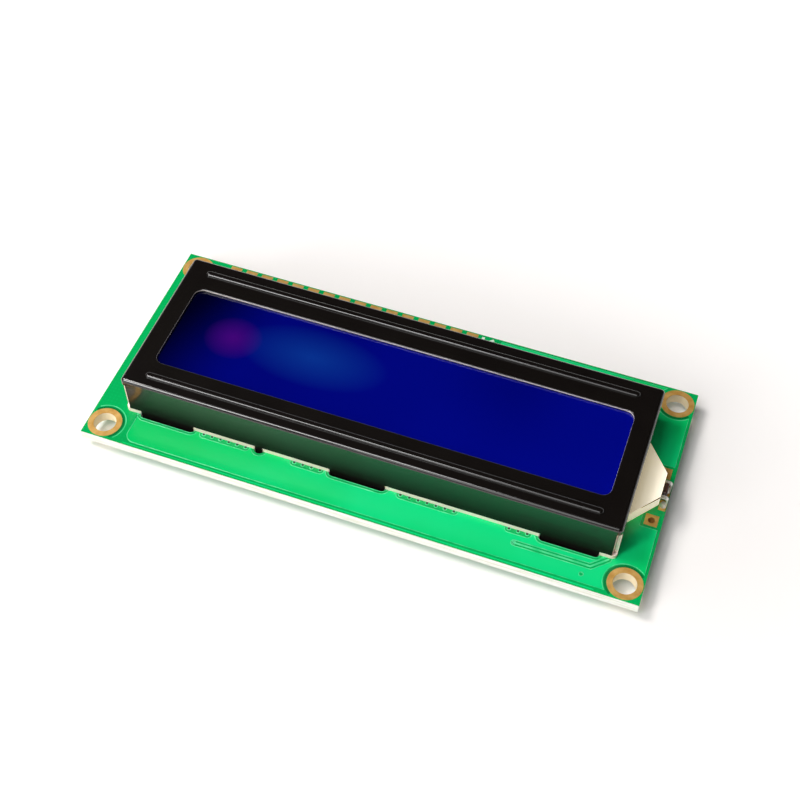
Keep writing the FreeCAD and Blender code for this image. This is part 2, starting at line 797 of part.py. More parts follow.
# Zebra strips: elastomer connectors that stand on the board under the glass ledges
ZEBRA_Y = f"(({ZEBRA_OUTER} + {ZEBRA_INNER}) / 2)"
ZEBRA_WIDTH = f"({ZEBRA_OUTER} - {ZEBRA_INNER})"
for label, side in (("zebra_strip_front", "-1 * "), ("zebra_strip_back", "")):
    strip = plate(label, ZEBRA_LENGTH, ZEBRA_WIDTH, FRONT_GLASS_Z, "0", f"{side}{ZEBRA_Y}")
    register(strip, label)

# Lamp: flat LED in the tip of the horn
lamp = doc.addObject("Part::Box", "led_lamp")
bind(lamp, "Length", "lamp_depth")
bind(lamp, "Width", "lamp_width")
bind(lamp, "Height", "lamp_height")
place(
    lamp,
    f"{DISPLAY_X} + {HORN_END} - lamp_depth",
    f"{LAMP_Y} - lamp_width / 2",
    f"{BOARD_TOP} + {HORN_MIDDLE} - lamp_height / 2",
)
register(lamp, "led_lamp")

# Leads: two flat strips, bent down to the lamp lands
leads = new_body("led_leads", DISPLAY_X, LAMP_Y, BOARD_TOP)
for index, sign in enumerate("+-"):
    profile = new_sketch(leads, f"lead_{index}", "XZ_Plane", lift=f"{sign}1 * {LEAD_STEP}")
    polygon(
        profile,
        [
            (HORN_END, f"{HORN_MIDDLE} - lead_thickness / 2"),
            (f"{LEAD_OUT} - lead_thickness", f"{HORN_MIDDLE} - lead_thickness / 2"),
            (f"{LEAD_OUT} - lead_thickness", "plating"),
            (LEAD_OUT, "plating"),
            (LEAD_OUT, f"{HORN_MIDDLE} + lead_thickness / 2"),
            (HORN_END, f"{HORN_MIDDLE} + lead_thickness / 2"),
        ],
    )
    last = pad(leads, profile, "lead_width", midplane=True)
doc.recompute()
bend_x = last.Shape.BoundBox.XMax
bend_top = last.Shape.BoundBox.ZMax
strip = value("lead_thickness")


def bend_edge(depth):
    """Gives a test for the bend's edge at a depth inside the outer corner."""

    def test(start, end):
        at_x = same(start.x, end.x, bend_x - depth)
        return at_x and same(start.z, end.z, bend_top - depth)

    return test


last = fillet(leads, last, edges_where(last, bend_edge(0)), "lead_bend + lead_thickness")
doc.recompute()
fillet(leads, last, edges_where(last, bend_edge(strip)), "lead_bend")

# Solder: a heap on each lamp land, round the foot of the lead
heaps = []
for index, sign in enumerate("+-"):
    heap = doc.addObject("Part::Cone", f"solder_heap_{index}")
    bind(heap, "Radius1", "solder_base")
    bind(heap, "Radius2", "solder_tip")
    bind(heap, "Height", "solder_height")
    place(
        heap,
        LAMP_LAND_X,
        f"{LAMP_Y} {sign} {LEAD_STEP}",
        f"{BOARD_TOP} + plating",
    )
    foot = doc.addObject("Part::Box", f"solder_foot_{index}")
    bind(foot, "Length", "lead_thickness")
    bind(foot, "Width", "lead_width")
    bind(foot, "Height", "solder_height")
    place(
        foot,
        f"{DISPLAY_X} + {LEAD_OUT} - lead_thickness",
        f"{LAMP_Y} {sign} {LEAD_STEP} - lead_width / 2",
        f"{BOARD_TOP} + plating",
    )
    joint = doc.addObject("Part::Cut", f"solder_joint_{index}")
    joint.Base = heap
    joint.Tool = foot
    heaps.append(joint)
solder = doc.addObject("Part::Compound", "led_solder")
solder.Links = heaps
register(solder, "led_solder")


# Rear epoxy covers: domes with a flat, each over a bare chip glued to the board
def covered_chip(name, x, diameter, die_x, die_y):
    """Makes a chip and the round epoxy cover poured over it, on the board's rear face."""
    die = doc.addObject("Part::Box", f"{name}_die")
    bind(die, "Length", die_x)
    bind(die, "Width", die_y)
    bind(die, "Height", "die_thickness")
    place(die, f"{x} - {die_x} / 2", f"blob_y - {die_y} / 2", "blob_height - die_thickness")
    register(die, f"{name}_die")

    cover = new_body(f"{name}_blob", x, "blob_y", "blob_height")
    profile = new_sketch(cover, f"{name}_blob_profile", "XZ_Plane")
    edge, flat, height = f"({diameter} / 2)", "(blob_flat / 2)", "blob_height"
    rim_point, flat_rim = point(edge, "0"), point(flat, f"-{height}")
    bottom, centre = point("0", f"-{height}"), point("0", "0")
    reach = rim_point.x - flat_rim.x
    radius = (reach**2 + value(height) ** 2) / (2 * value(height))
    ring = Part.Circle(flat_rim + FreeCAD.Vector(0, radius, 0), UP, radius)
    rise = math.asin((ring.Center.y - rim_point.y) / radius)
    middle = profile.addGeometry(Part.LineSegment(centre, rim_point))
    dome = profile.addGeometry(Part.ArcOfCircle(ring, -math.pi / 2, -rise))
    face = profile.addGeometry(Part.LineSegment(flat_rim, bottom))
    axis = profile.addGeometry(Part.LineSegment(bottom, centre))
    for pair in ((middle, 2, dome, 2), (face, 2, axis, 1), (axis, 2, middle, 1)):
        profile.addConstraint(Sketcher.Constraint("Coincident", *pair))
    profile.addConstraint(Sketcher.Constraint("Tangent", dome, 1, face, 1))
    profile.addConstraint(Sketcher.Constraint("Coincident", middle, 1, -1, 1))
    profile.addConstraint(Sketcher.Constraint("Horizontal", middle))
    profile.addConstraint(Sketcher.Constraint("Vertical", axis))
    profile.addConstraint(Sketcher.Constraint("Horizontal", face))
    dimension(profile, "DistanceX", (-1, 1, middle, 2), edge)
    dimension(profile, "DistanceX", (-1, 1, face, 1), flat)
    dimension(profile, "DistanceY", (face, 2, axis, 2), height)
    turned = cover.newObject("PartDesign::Revolution", f"{name}_blob_turned")
    turned.Profile = profile
    turned.ReferenceAxis = (profile, ["V_Axis"])
    turned.Angle = 360.0
    room = new_sketch(cover, f"{name}_blob_room")
    rectangle(room, "0", "0", die_x, die_y)
    pocket(cover, room, "die_thickness", up=False)


covered_chip("controller", "controller_x", "controller_blob", "controller_die_x", "controller_die_y")
covered_chip("driver", "driver_x", "driver_blob", "driver_die_x", "driver_die_y")


# Chip parts on the rear: ceramic bodies between metal end caps, in rows along X
CHIP_ROW_Y = f"({DISPLAY_Y} + {FOOT_END} - chip_foot_gap - chip_width / 2)"


def chip_row(name, x, count, pitch, height):
    """Makes a row of chip parts as two nodes, the bodies and the end caps."""
    core = new_body(f"{name}_bodies", x, CHIP_ROW_Y, "blob_height")
    sketch = new_sketch(core, f"{name}_body", lift="-cap_lip")
    rectangle(sketch, "0", "0", "chip_length - 2 * chip_cap", "chip_width")
    row_of(core, [pad(core, sketch, f"{height} - 2 * cap_lip", down=True)], count, pitch)

    caps = new_body(f"{name}_caps", x, CHIP_ROW_Y, "blob_height")
    sketch = new_sketch(caps, f"{name}_cap")
    for side in SIDES:
        rectangle(sketch, f"{side}(chip_length - chip_cap) / 2", "0", "chip_cap", "chip_width")
    row_of(caps, [pad(caps, sketch, height, down=True)], count, pitch)


chip_row("resistor", "resistor_x", "resistor_count", "resistor_pitch", "resistor_height")
chip_row("capacitor", "(capacitor_inset - board_length / 2)", "capacitor_count", "capacitor_pitch", "capacitor_height")

# Check every object, then write one file for each sub-part
doc.recompute()
for item in doc.Objects:
    if "Invalid" in item.State or "Error" in item.State:
        raise RuntimeError(f"{item.Label} failed: {item.State}")
for item in subparts:
    shape = item.Shape
    if shape.isNull() or not shape.isValid() or not shape.Solids:
        raise RuntimeError(f"{item.Label} has no valid solid")

os.makedirs("parts", exist_ok=True)
for item in subparts:
    item.Shape.exportStep(f"parts/{item.Label}.step")
    box = item.Shape.BoundBox
    print(
        f"{item.Label:20} solids {len(item.Shape.Solids):2} volume {item.Shape.Volume:9.3f}"
        f"  x {box.XMin:7.2f} {box.XMax:7.2f}  y {box.YMin:7.2f} {box.YMax:7.2f}"
        f"  z {box.ZMin:6.2f} {box.ZMax:6.2f}"
    )
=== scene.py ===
import math

import bmesh
import bpy
from mathutils import Matrix, Vector


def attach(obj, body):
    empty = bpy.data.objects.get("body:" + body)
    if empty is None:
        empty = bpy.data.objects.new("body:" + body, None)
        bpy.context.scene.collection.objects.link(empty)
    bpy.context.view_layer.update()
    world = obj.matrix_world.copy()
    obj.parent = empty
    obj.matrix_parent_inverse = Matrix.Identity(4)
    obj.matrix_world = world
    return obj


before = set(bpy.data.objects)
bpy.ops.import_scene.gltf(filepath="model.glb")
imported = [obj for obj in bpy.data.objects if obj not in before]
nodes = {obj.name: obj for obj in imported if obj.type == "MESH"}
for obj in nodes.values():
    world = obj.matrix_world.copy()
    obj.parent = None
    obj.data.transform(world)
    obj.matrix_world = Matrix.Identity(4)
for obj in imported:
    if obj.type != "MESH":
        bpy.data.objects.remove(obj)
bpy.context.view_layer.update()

scene = bpy.context.scene
scene.view_settings.view_transform = "Standard"

# Circuit board: 1.6 mm glass-epoxy laminate, routed to 80 x 36.1 mm and drilled. Printed
# green solder mask covers both faces; the routed edges and the tab slots stay bare, so the
# pale glass layers show there. Sizes are in millimetres, and MM turns them into metres.
MM = 0.001


def linear(code):
    """An sRGB hex colour as the linear colour that a socket takes."""
    parts = [int(code[i:i + 2], 16) / 255 for i in (1, 3, 5)]
    return [p / 12.92 if p <= 0.04045 else ((p + 0.055) / 1.055) ** 2.4 for p in parts] + [1.0]


def add(tree, kind, sockets=None, **settings):
    """Adds one node: settings are its own, and a socket takes a value or another node's output."""
    made = tree.nodes.new(kind)
    for name, value in settings.items():
        setattr(made, name, value)
    for name, value in (sockets or {}).items():
        if isinstance(value, bpy.types.NodeSocket):
            tree.links.new(value, made.inputs[name])
        else:
            made.inputs[name].default_value = value
    return made


def new_finish(name):
    """A material with an empty node tree."""
    finish = bpy.data.materials.new(name)
    finish.use_nodes = True
    finish.node_tree.nodes.clear()
    return finish, finish.node_tree


def dress(finish, *names):
    """Gives a finish to CAD nodes."""
    for name in names:
        for held in nodes[name].material_slots:
            held.material = finish


# Green mask over bare laminate: a glossy, slightly see-through green with the glass weave
# just showing as a 0.55 mm check, and at cut faces the pale laminate in its thin layers. A
# wave texture of scale 1 repeats every pi / 10, so that over a spacing is its scale. The
# ink's skin ripples over 0.7 mm.
WAVE = math.pi / 10
WEAVE = 0.551
INK_RIPPLE = 0.714
mask_green, tree = new_finish("green_solder_mask_on_laminate")
place = add(tree, "ShaderNodeTexCoord")
across = add(tree, "ShaderNodeTexWave", {"Vector": place.outputs["Object"],
             "Scale": WAVE / (WEAVE * MM), "Distortion": 0.6, "Detail": 1.0}, bands_direction="X")
along = add(tree, "ShaderNodeTexWave", {"Vector": place.outputs["Object"],
            "Scale": WAVE / (WEAVE * MM), "Distortion": 0.6, "Detail": 1.0}, bands_direction="Y")
weave = add(tree, "ShaderNodeMath", {0: across.outputs["Fac"], 1: along.outputs["Fac"]},
            operation="MULTIPLY")
cloud = add(tree, "ShaderNodeTexNoise", {"Vector": place.outputs["Object"],
            "Scale": 1 / (11.1 * MM), "Detail": 3.0})
shade = add(tree, "ShaderNodeMath", {0: weave.outputs[0], 1: 0.2, 2: cloud.outputs["Fac"]},
            operation="MULTIPLY_ADD")
ink = add(tree, "ShaderNodeValToRGB", {"Fac": shade.outputs[0]})
ink.color_ramp.elements[0].position = 0.25
ink.color_ramp.elements[0].color = linear("#02A552")
ink.color_ramp.elements[1].position = 0.95
ink.color_ramp.elements[1].color = linear("#06BE64")
stretch = add(tree, "ShaderNodeMapping", {"Vector": place.outputs["Object"],
              "Scale": (1 / (3.33 * MM), 1 / (3.33 * MM), 1 / (0.167 * MM))})
layers = add(tree, "ShaderNodeTexNoise", {"Vector": stretch.outputs[0], "Scale": 1.0,
             "Detail": 2.0})
laminate = add(tree, "ShaderNodeValToRGB", {"Fac": layers.outputs["Fac"]})
laminate.color_ramp.elements[0].position = 0.35
laminate.color_ramp.elements[0].color = linear("#E4E7D6")
laminate.color_ramp.elements[1].position = 0.65
laminate.color_ramp.elements[1].color = linear("#FAFBF6")
turn = add(tree, "ShaderNodeSeparateXYZ", {"Vector": place.outputs["Normal"]})
upright = add(tree, "ShaderNodeMath", {0: turn.outputs["Z"]}, operation="ABSOLUTE")
face = add(tree, "ShaderNodeMapRange", {"Value": upright.outputs[0], "From Min": 0.4,
           "From Max": 0.6})
colour = add(tree, "ShaderNodeMix", {"Factor": face.outputs[0], 6: laminate.outputs["Color"],
             7: ink.outputs["Color"]}, data_type="RGBA")
dull = add(tree, "ShaderNodeMapRange", {"Value": face.outputs[0], "To Min": 0.75, "To Max": 0.22})
peel = add(tree, "ShaderNodeTexNoise", {"Vector": place.outputs["Object"],
           "Scale": 1 / (INK_RIPPLE * MM), "Detail": 2.0})
bump = add(tree, "ShaderNodeBump", {"Height": peel.outputs["Fac"], "Strength": 0.12,
           "Distance": 0.00002})
gloss = add(tree, "ShaderNodeBsdfPrincipled", {"Base Color": colour.outputs[2],
            "Roughness": dull.outputs[0], "IOR": 1.5, "Specular IOR Level": 0.4,
            "Normal": bump.outputs[0]})
add(tree, "ShaderNodeOutputMaterial", {"Surface": gloss.outputs[0]})
dress(mask_green, "circuit_board")

# Copper under the mask: 35 micron foil etched into one ground area round the front, right and
# far edges, a guard strip and a trace. The mask flows over it, so it stands a little proud
# and looks brighter than the mask on bare laminate. Its gaps leave the tab slots, the vias, a
# peg hole and a test dot clear.
BOARD_TOP = 3.1
BOARD_BACK = 1.5
FOIL = 0.02
MOUNT = (37.5, 15.5)
LAND_CLEAR = 2.95
POUR_ROUND = 1.4
POUR_LEFT = -33.7
POUR_FRONT = -17.3
POUR_BACK = 17.7
POUR_END = 39.6
PIN_ROW_END = 10.6
WALL_FRONT = -10.9
WALL_BACK = 12.2
WALL_END = 34.9
HORN_EDGES = (37.2, -6.2, 4.5)
SLOT_X = (-29.25, -0.75, 29.15)
SLOT_Y = -12.325
SLOT_HALF = 3.525
SLOT_CLEAR = 1.125
VIA_RUNS = ((-23.6, 6), (-9.94, 4), (5.59, 7), (20.93, 3))
VIA_PITCH = 1.27
VIA_Y = -12.66
VIA_CLEAR = 0.6
PEG_HOLE = (-15.3, -12.275, 1.15)
TEST_DOT = (31.77, -16.06, 0.3)
GUARD_WAY = [(-33.6, -17.73), (33.8, -17.73)]
TRACE_WAY = [(22.19, -14.55), (32.6, -14.55), (34.6, -12.75)]
TRACE_CLEAR = 0.42
EDGE_INK = 0.075


def arc(x, y, radius, start, end, steps):
    """Points on an arc, in degrees from +X, both ends included."""
    return [(x + radius * math.cos(math.radians(start + (end - start) * i / steps)),
             y + radius * math.sin(math.radians(start + (end - start) * i / steps)))
            for i in range(steps + 1)]


def ring(x, y, radius, steps=20):
    """Points once round a circle."""
    return arc(x, y, radius, 0, 360, steps)[:-1]


def strip(points, half):
    """The outline of a strip of that half width round a path, with round ends."""
    sides = ([], [])
    for i, (x, y) in enumerate(points):
        before = Vector(points[max(i - 1, 0)])
        after = Vector(points[min(i + 1, len(points) - 1)])
        here = Vector((x, y))
        first = (here - before).normalized() if i else (after - here).normalized()
        second = (after - here).normalized() if i < len(points) - 1 else first
        middle = (first + second).normalized()
        reach = half / max(middle.dot(first), 0.5)
        sides[0].append((x - middle.y * reach, y + middle.x * reach))
        sides[1].append((x + middle.y * reach, y - middle.x * reach))
    ends = []
    for tip, other in ((points[-1], points[-2]), (points[0], points[1])):
        way = Vector(tip) - Vector(other)
        angle = math.degrees(math.atan2(way.y, way.x))
        ends.append(arc(*tip, half, angle + 90, angle - 90, 10)[1:-1])
    return sides[0] + ends[0] + sides[1][::-1] + ends[1]


def settle(name, mesh, finish):
    """Closes a finished mesh, turns its faces outwards and makes it a piece of the part."""
    shell = bmesh.new()
    shell.from_mesh(mesh)
    bmesh.ops.remove_doubles(shell, verts=shell.verts, dist=0.0005 * MM)
    bmesh.ops.recalc_face_normals(shell, faces=shell.faces)
    shell.to_mesh(mesh)
    shell.free()
    mesh.name = name
    mesh.materials.clear()
    mesh.materials.append(finish)
    piece = bpy.data.objects.new(name, mesh)
    scene.collection.objects.link(piece)
    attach(piece, "root")


def drawn(line, place):
    """The mesh of a curve or text, put in its place; the curve itself is removed."""
    holder = bpy.data.objects.new("drawn", line)
    scene.collection.objects.link(holder)
    bpy.context.view_layer.update()
    seen = holder.evaluated_get(bpy.context.evaluated_depsgraph_get())
    mesh = bpy.data.meshes.new_from_object(seen)
    bpy.data.objects.remove(holder)
    mesh.transform(place)
    return mesh


def follow(line, loops):
    """Gives a curve its closed outlines."""
    for loop in loops:
        run = line.splines.new("POLY")
        run.points.add(len(loop) - 1)
        for point, (x, y) in zip(run.points, loop):
            point.co = (x * MM, y * MM, 0.0, 1.0)
        run.use_cyclic_u = True


def foil(name, loops, low, finish, thick=FOIL):
    """A flat sheet cut to closed outlines; an outline inside another is a hole in it."""
    line = bpy.data.curves.new(name, "CURVE")
    line.dimensions = "2D"
    line.fill_mode = "BOTH"
    line.extrude = thick / 2 * MM
    follow(line, loops)
    place = Matrix.Translation((0, 0, (low + thick / 2) * MM))
    settle(name, drawn(line, place), finish)


def bank(name, loops, level, half, finish):
    """A low rounded bank of ink along closed outlines, half sunk in the surface."""
    line = bpy.data.curves.new(name, "CURVE")
    line.dimensions = "3D"
    line.bevel_depth = half * MM
    line.bevel_resolution = 1
    follow(line, loops)
    place = Matrix.Translation((0, 0, level * MM)) @ Matrix.Scale(0.45, 4, (0, 0, 1))
    settle(name, drawn(line, place), finish)


# Green mask over copper: the same ink, but the metal under it throws the light back, so it
# is a brighter, bluer green, with slow changes of tone where the ink pooled.
mask_bright, tree = new_finish("green_solder_mask_on_copper")
place = add(tree, "ShaderNodeTexCoord")
pool = add(tree, "ShaderNodeTexNoise", {"Vector": place.outputs["Object"],
           "Scale": 1 / (22.2 * MM), "Detail": 2.0, "Roughness": 0.4})
ink = add(tree, "ShaderNodeValToRGB", {"Fac": pool.outputs["Fac"]})
ink.color_ramp.elements[0].position = 0.38
ink.color_ramp.elements[0].color = linear("#04CC66")
ink.color_ramp.elements[1].position = 0.62
ink.color_ramp.elements[1].color = linear("#0CDE84")
peel = add(tree, "ShaderNodeTexNoise", {"Vector": place.outputs["Object"],
           "Scale": 1 / (INK_RIPPLE * MM), "Detail": 2.0})
bump = add(tree, "ShaderNodeBump", {"Height": peel.outputs["Fac"], "Strength": 0.12,
           "Distance": 0.00002})
gloss = add(tree, "ShaderNodeBsdfPrincipled", {"Base Color": ink.outputs["Color"],
            "Roughness": 0.22, "IOR": 1.5, "Specular IOR Level": 0.4,
            "Normal": bump.outputs[0]})
add(tree, "ShaderNodeOutputMaterial", {"Surface": gloss.outputs[0]})

# Mask at the foil's edges: it thins where it runs over the step, and each edge is drawn by a fine
# paler line that is partly that thinner mask and partly a painted highlight.
mask_thin_with_highlight, tree = new_finish("green_solder_mask_thin_with_painted_highlight")
place = add(tree, "ShaderNodeTexCoord")
speck = add(tree, "ShaderNodeTexNoise", {"Vector": place.outputs["Object"],
            "Scale": 1 / (1.43 * MM), "Detail": 2.0})
ink = add(tree, "ShaderNodeValToRGB", {"Fac": speck.outputs["Fac"]})
ink.color_ramp.elements[0].position = 0.3
ink.color_ramp.elements[0].color = linear("#25CE7E")
ink.color_ramp.elements[1].position = 0.7
ink.color_ramp.elements[1].color = linear("#62E8A6")
gloss = add(tree, "ShaderNodeBsdfPrincipled", {"Base Color": ink.outputs["Color"],
            "Roughness": 0.25, "IOR": 1.5})
add(tree, "ShaderNodeOutputMaterial", {"Surface": gloss.outputs[0]})

# The outline of the pour starts at its front left corner. The arcs go round the mounting lands
# and end where their circle meets the pour's straight edges.
ground = arc(POUR_LEFT + POUR_ROUND, POUR_FRONT + POUR_ROUND, POUR_ROUND, 180, 270, 8)
ground += arc(MOUNT[0], -MOUNT[1], LAND_CLEAR, 217.6, 44.6, 24)
ground += [(POUR_END, HORN_EDGES[1]), (HORN_EDGES[0], HORN_EDGES[1])]
ground += [(HORN_EDGES[0], HORN_EDGES[2]), (POUR_END, HORN_EDGES[2])]
ground += arc(MOUNT[0], MOUNT[1], LAND_CLEAR, -44.6, -228.3, 24)
ground += [(PIN_ROW_END, POUR_BACK), (PIN_ROW_END, WALL_BACK), (WALL_END, WALL_BACK)]
ground += [(WALL_END, WALL_FRONT), (POUR_LEFT, WALL_FRONT)]
slot_lines = [[(x - SLOT_HALF, SLOT_Y), (x + SLOT_HALF, SLOT_Y)] for x in SLOT_X]
gaps = [strip(line, SLOT_CLEAR) for line in slot_lines]
gaps += [strip([(start, VIA_Y), (start + VIA_PITCH * (count - 1), VIA_Y)], VIA_CLEAR)
         for start, count in VIA_RUNS]
gaps += [ring(*PEG_HOLE), strip(TRACE_WAY, TRACE_CLEAR), ring(*TEST_DOT)]
foil("masked_ground_front", [ground] + gaps, BOARD_TOP, mask_bright)
foil("masked_guard_strip", [strip(GUARD_WAY, 0.09)], BOARD_TOP, mask_bright)
foil("masked_trace", [strip(TRACE_WAY, 0.12)], BOARD_TOP, mask_thin_with_highlight, 0.03)
# Paler banks of ink along the pour's, the gaps' and the slots' edges: partly thin mask, partly
# painted highlight.
bank("mask_edge_lines", [ground] + gaps, BOARD_TOP + FOIL / 2, EDGE_INK, mask_thin_with_highlight)
bank("slot_edge_lines", [strip(line, 0.74) for line in slot_lines], BOARD_TOP, 0.05, mask_thin_with_highlight)

# Gaps round the mounting lands: a dark green arc round part of each land, between the land and the
# pour, is painted shade, and the thin paler edge outside it is a painted highlight.
mask_painted_shade, tree = new_finish("green_solder_mask_painted_shade_round_lands")
place = add(tree, "ShaderNodeTexCoord")
speck = add(tree, "ShaderNodeTexNoise", {"Vector": place.outputs["Object"], "Scale": 1 / (2 * MM)})
ink = add(tree, "ShaderNodeValToRGB", {"Fac": speck.outputs["Fac"]})
ink.color_ramp.elements[0].color = linear("#046A34")
ink.color_ramp.elements[1].color = linear("#0A8746")
gloss = add(tree, "ShaderNodeBsdfPrincipled", {"Base Color": ink.outputs["Color"],
            "Roughness": 0.25, "IOR": 1.5})
add(tree, "ShaderNodeOutputMaterial", {"Surface": gloss.outputs[0]})
# A span is its land's centre and the angles at which the painted shade starts and ends.
SHADE_RADIUS = 2.6
SHADE_SPANS = ((-MOUNT[0], -MOUNT[1], -50, 138), (MOUNT[0], -MOUNT[1], 42, 230),
             (MOUNT[0], MOUNT[1], -136, -44))
shade_arcs = [strip(arc(x, y, SHADE_RADIUS, start, end, 24), 0.17) for x, y, start, end in SHADE_SPANS]
foil("mask_painted_shade_arcs", shade_arcs, BOARD_TOP, mask_painted_shade, 0.01)
# Painted highlight: a thin paler edge outside the front left land's painted shade.
left_highlight_edge = strip(arc(-MOUNT[0], -MOUNT[1], LAND_CLEAR, -42, 128, 24), 0.07)
foil("mask_painted_highlight_edge", [left_highlight_edge], BOARD_TOP, mask_thin_with_highlight, 0.015)

# Vias: rows of 0.3 mm plated holes along the front, covered by the mask, which leaves a dark
# dimple where it sank in; the fine pale ring round each is a painted highlight on the dimple's
# rim.
VIA_RING = 0.24
VIA_DIMPLE = 0.19
via_spots = [(start + VIA_PITCH * i, VIA_Y) for start, count in VIA_RUNS for i in range(count)]
via_spots.append(TRACE_WAY[0])
rings = bpy.data.node_groups.new("via_painted_highlight_rings", "GeometryNodeTree")
rings.interface.new_socket("Drill points", in_out="INPUT", socket_type="NodeSocketGeometry")
ring_radius = rings.interface.new_socket("Ring radius", in_out="INPUT",
                                         socket_type="NodeSocketFloat")
ink_width = rings.interface.new_socket("Ink width", in_out="INPUT",
                                       socket_type="NodeSocketFloat")
rings.interface.new_socket("Rings", in_out="OUTPUT", socket_type="NodeSocketGeometry")
inlet = add(rings, "NodeGroupInput")
path = add(rings, "GeometryNodeCurvePrimitiveCircle", {"Resolution": 14,
           "Radius": inlet.outputs["Ring radius"]})
section = add(rings, "GeometryNodeCurvePrimitiveCircle", {"Resolution": 6,
              "Radius": inlet.outputs["Ink width"]})
tube = add(rings, "GeometryNodeCurveToMesh", {"Curve": path.outputs["Curve"],
           "Profile Curve": section.outputs["Curve"]})
low = add(rings, "GeometryNodeTransform", {"Geometry": tube.outputs["Mesh"],
          "Scale": (1.0, 1.0, 0.5)})
rows = add(rings, "GeometryNodeInstanceOnPoints", {"Points": inlet.outputs["Drill points"],
           "Instance": low.outputs["Geometry"]})
solid = add(rings, "GeometryNodeRealizeInstances", {"Geometry": rows.outputs["Instances"]})
inked = add(rings, "GeometryNodeSetMaterial", {"Geometry": solid.outputs["Geometry"],
            "Material": mask_thin_with_highlight})
add(rings, "NodeGroupOutput", {"Rings": inked.outputs["Geometry"]})
drill = bpy.data.meshes.new("drill_points")
drill.from_pydata([(x * MM, y * MM, BOARD_TOP * MM) for x, y in via_spots], [], [])
holder = bpy.data.objects.new("drill_points", drill)
scene.collection.objects.link(holder)
array = holder.modifiers.new("rings", "NODES")
array.node_group = rings
array[ring_radius.identifier] = VIA_RING * MM
array[ink_width.identifier] = EDGE_INK * MM
bpy.context.view_layer.update()
seen = holder.evaluated_get(bpy.context.evaluated_depsgraph_get())
ring_mesh = bpy.data.meshes.new_from_object(seen)
holder.modifiers.remove(array)
bpy.data.objects.remove(holder)
settle("via_painted_highlight_rings", ring_mesh, mask_thin_with_highlight)

# Mask sunk in the vias: nearly black green, because no light comes back out of the hole.
DIMPLE_THICK = 0.012
mask_sunk, tree = new_finish("green_solder_mask_sunk_in_vias")
place = add(tree, "ShaderNodeTexCoord")
speck = add(tree, "ShaderNodeTexNoise", {"Vector": place.outputs["Object"],
            "Scale": 1 / (0.4 * MM)})
ink = add(tree, "ShaderNodeValToRGB", {"Fac": speck.outputs["Fac"]})
ink.color_ramp.elements[0].color = linear("#03210F")
ink.color_ramp.elements[1].color = linear("#0A4A26")
gloss = add(tree, "ShaderNodeBsdfPrincipled", {"Base Color": ink.outputs["Color"],
            "Roughness": 0.3, "IOR": 1.5})
add(tree, "ShaderNodeOutputMaterial", {"Surface": gloss.outputs[0]})
foil("via_dimples", [ring(x, y, VIA_DIMPLE, 12) for x, y in via_spots], BOARD_TOP, mask_sunk,
     DIMPLE_THICK)

# Pin number: "16" screened in white ink beside the last pin, a thin slightly raised film.
white_ink, tree = new_finish("white_screened_ink")
place = add(tree, "ShaderNodeTexCoord")
speck = add(tree, "ShaderNodeTexNoise", {"Vector": place.outputs["Object"],
            "Scale": 1 / (0.556 * MM), "Detail": 3.0})
tone = add(tree, "ShaderNodeValToRGB", {"Fac": speck.outputs["Fac"]})
tone.color_ramp.elements[0].position = 0.3
tone.color_ramp.elements[0].color = linear("#D5E8DC")
tone.color_ramp.elements[1].position = 0.6
tone.color_ramp.elements[1].color = linear("#F4F8F2")
gloss = add(tree, "ShaderNodeBsdfPrincipled", {"Base Color": tone.outputs["Color"],
            "Roughness": 0.55, "IOR": 1.5})
add(tree, "ShaderNodeOutputMaterial", {"Surface": gloss.outputs[0]})


def screened(name, words, x, y, low, height, width, flip=1.0):
    """A word in white ink about x, y; flip -1 turns it to be read from below."""
    letters = bpy.data.curves.new(name, "FONT")
    letters.body = words
    letters.align_x = "CENTER"
    letters.align_y = "CENTER"
    letters.resolution_u = 3
    letters.extrude = 0.5
    letters.offset = 0.03
    place = Matrix.Translation((x * MM, y * MM, low * MM))
    place = place @ Matrix.Diagonal((flip * width * MM, height * MM, 0.02 * MM, 1.0))
    settle(name, drawn(letters, place), white_ink)


screened("pin_number_last", "16", 8.45, 16.72, BOARD_TOP + 0.01, 2.4, 2.6)

# Copper on the back: masked traces from the two chips to the pin row, to each other and to the
# vias of the glass connectors. The photograph doesn't show them, so they are laid out as on
# modules of this kind, clear of the tabs, the holes and the small parts. A chip is given by
# its centre and the radius at which its traces start.
TRACE_HALF = 0.13
CHIPS = ((-13.5, -0.5, 7.9), (16.5, -0.5, 6.9))
PIN_PITCH = 2.54
FIRST_PIN = -24.38
rear_traces = [[(-6.0, y), (10.0, y)] for y in (-3.2, -2.1, -1.0, 0.1, 1.2, 2.3)]
channels = [-21.6 + 1.55 * i for i in range(4)] + [-13.7 + 1.5 * i for i in range(6)]
for i, channel in enumerate(channels):
    rim_spot = arc(*CHIPS[0], 158, 22, 9)[i]
    pin = (FIRST_PIN + PIN_PITCH * i, 14.4)
    rear_traces.append([rim_spot, (channel, 9.3), (channel, 12.4), pin])
for chip, reached in zip(CHIPS, (via_spots[:10], via_spots[10:20])):
    for rim_spot, (x, y) in zip(arc(*chip, 212, 328, 9), reached):
        rear_traces.append([rim_spot, (x, -10.6), (x, y)])
foil("masked_traces_rear", [strip(way, TRACE_HALF) for way in rear_traces], BOARD_BACK - FOIL,
     mask_bright)

# White ink on the back: a ring round each chip, which stopped the epoxy when it was poured, and
# the numbers of the first and last pin.
POUR_RING = (0.15, 0.45)
foil("pour_rings_rear", [ring(x, y, r + edge, 48) for x, y, r in CHIPS for edge in POUR_RING],
     BOARD_BACK - 0.035, white_ink, 0.02)
screened("pin_number_first_rear", "1", -33.9, 16.3, BOARD_BACK - 0.015, 2.8, 2.5, -1.0)
screened("pin_number_last_rear", "16", 8.8, 16.3, BOARD_BACK - 0.015, 2.8, 2.5, -1.0)
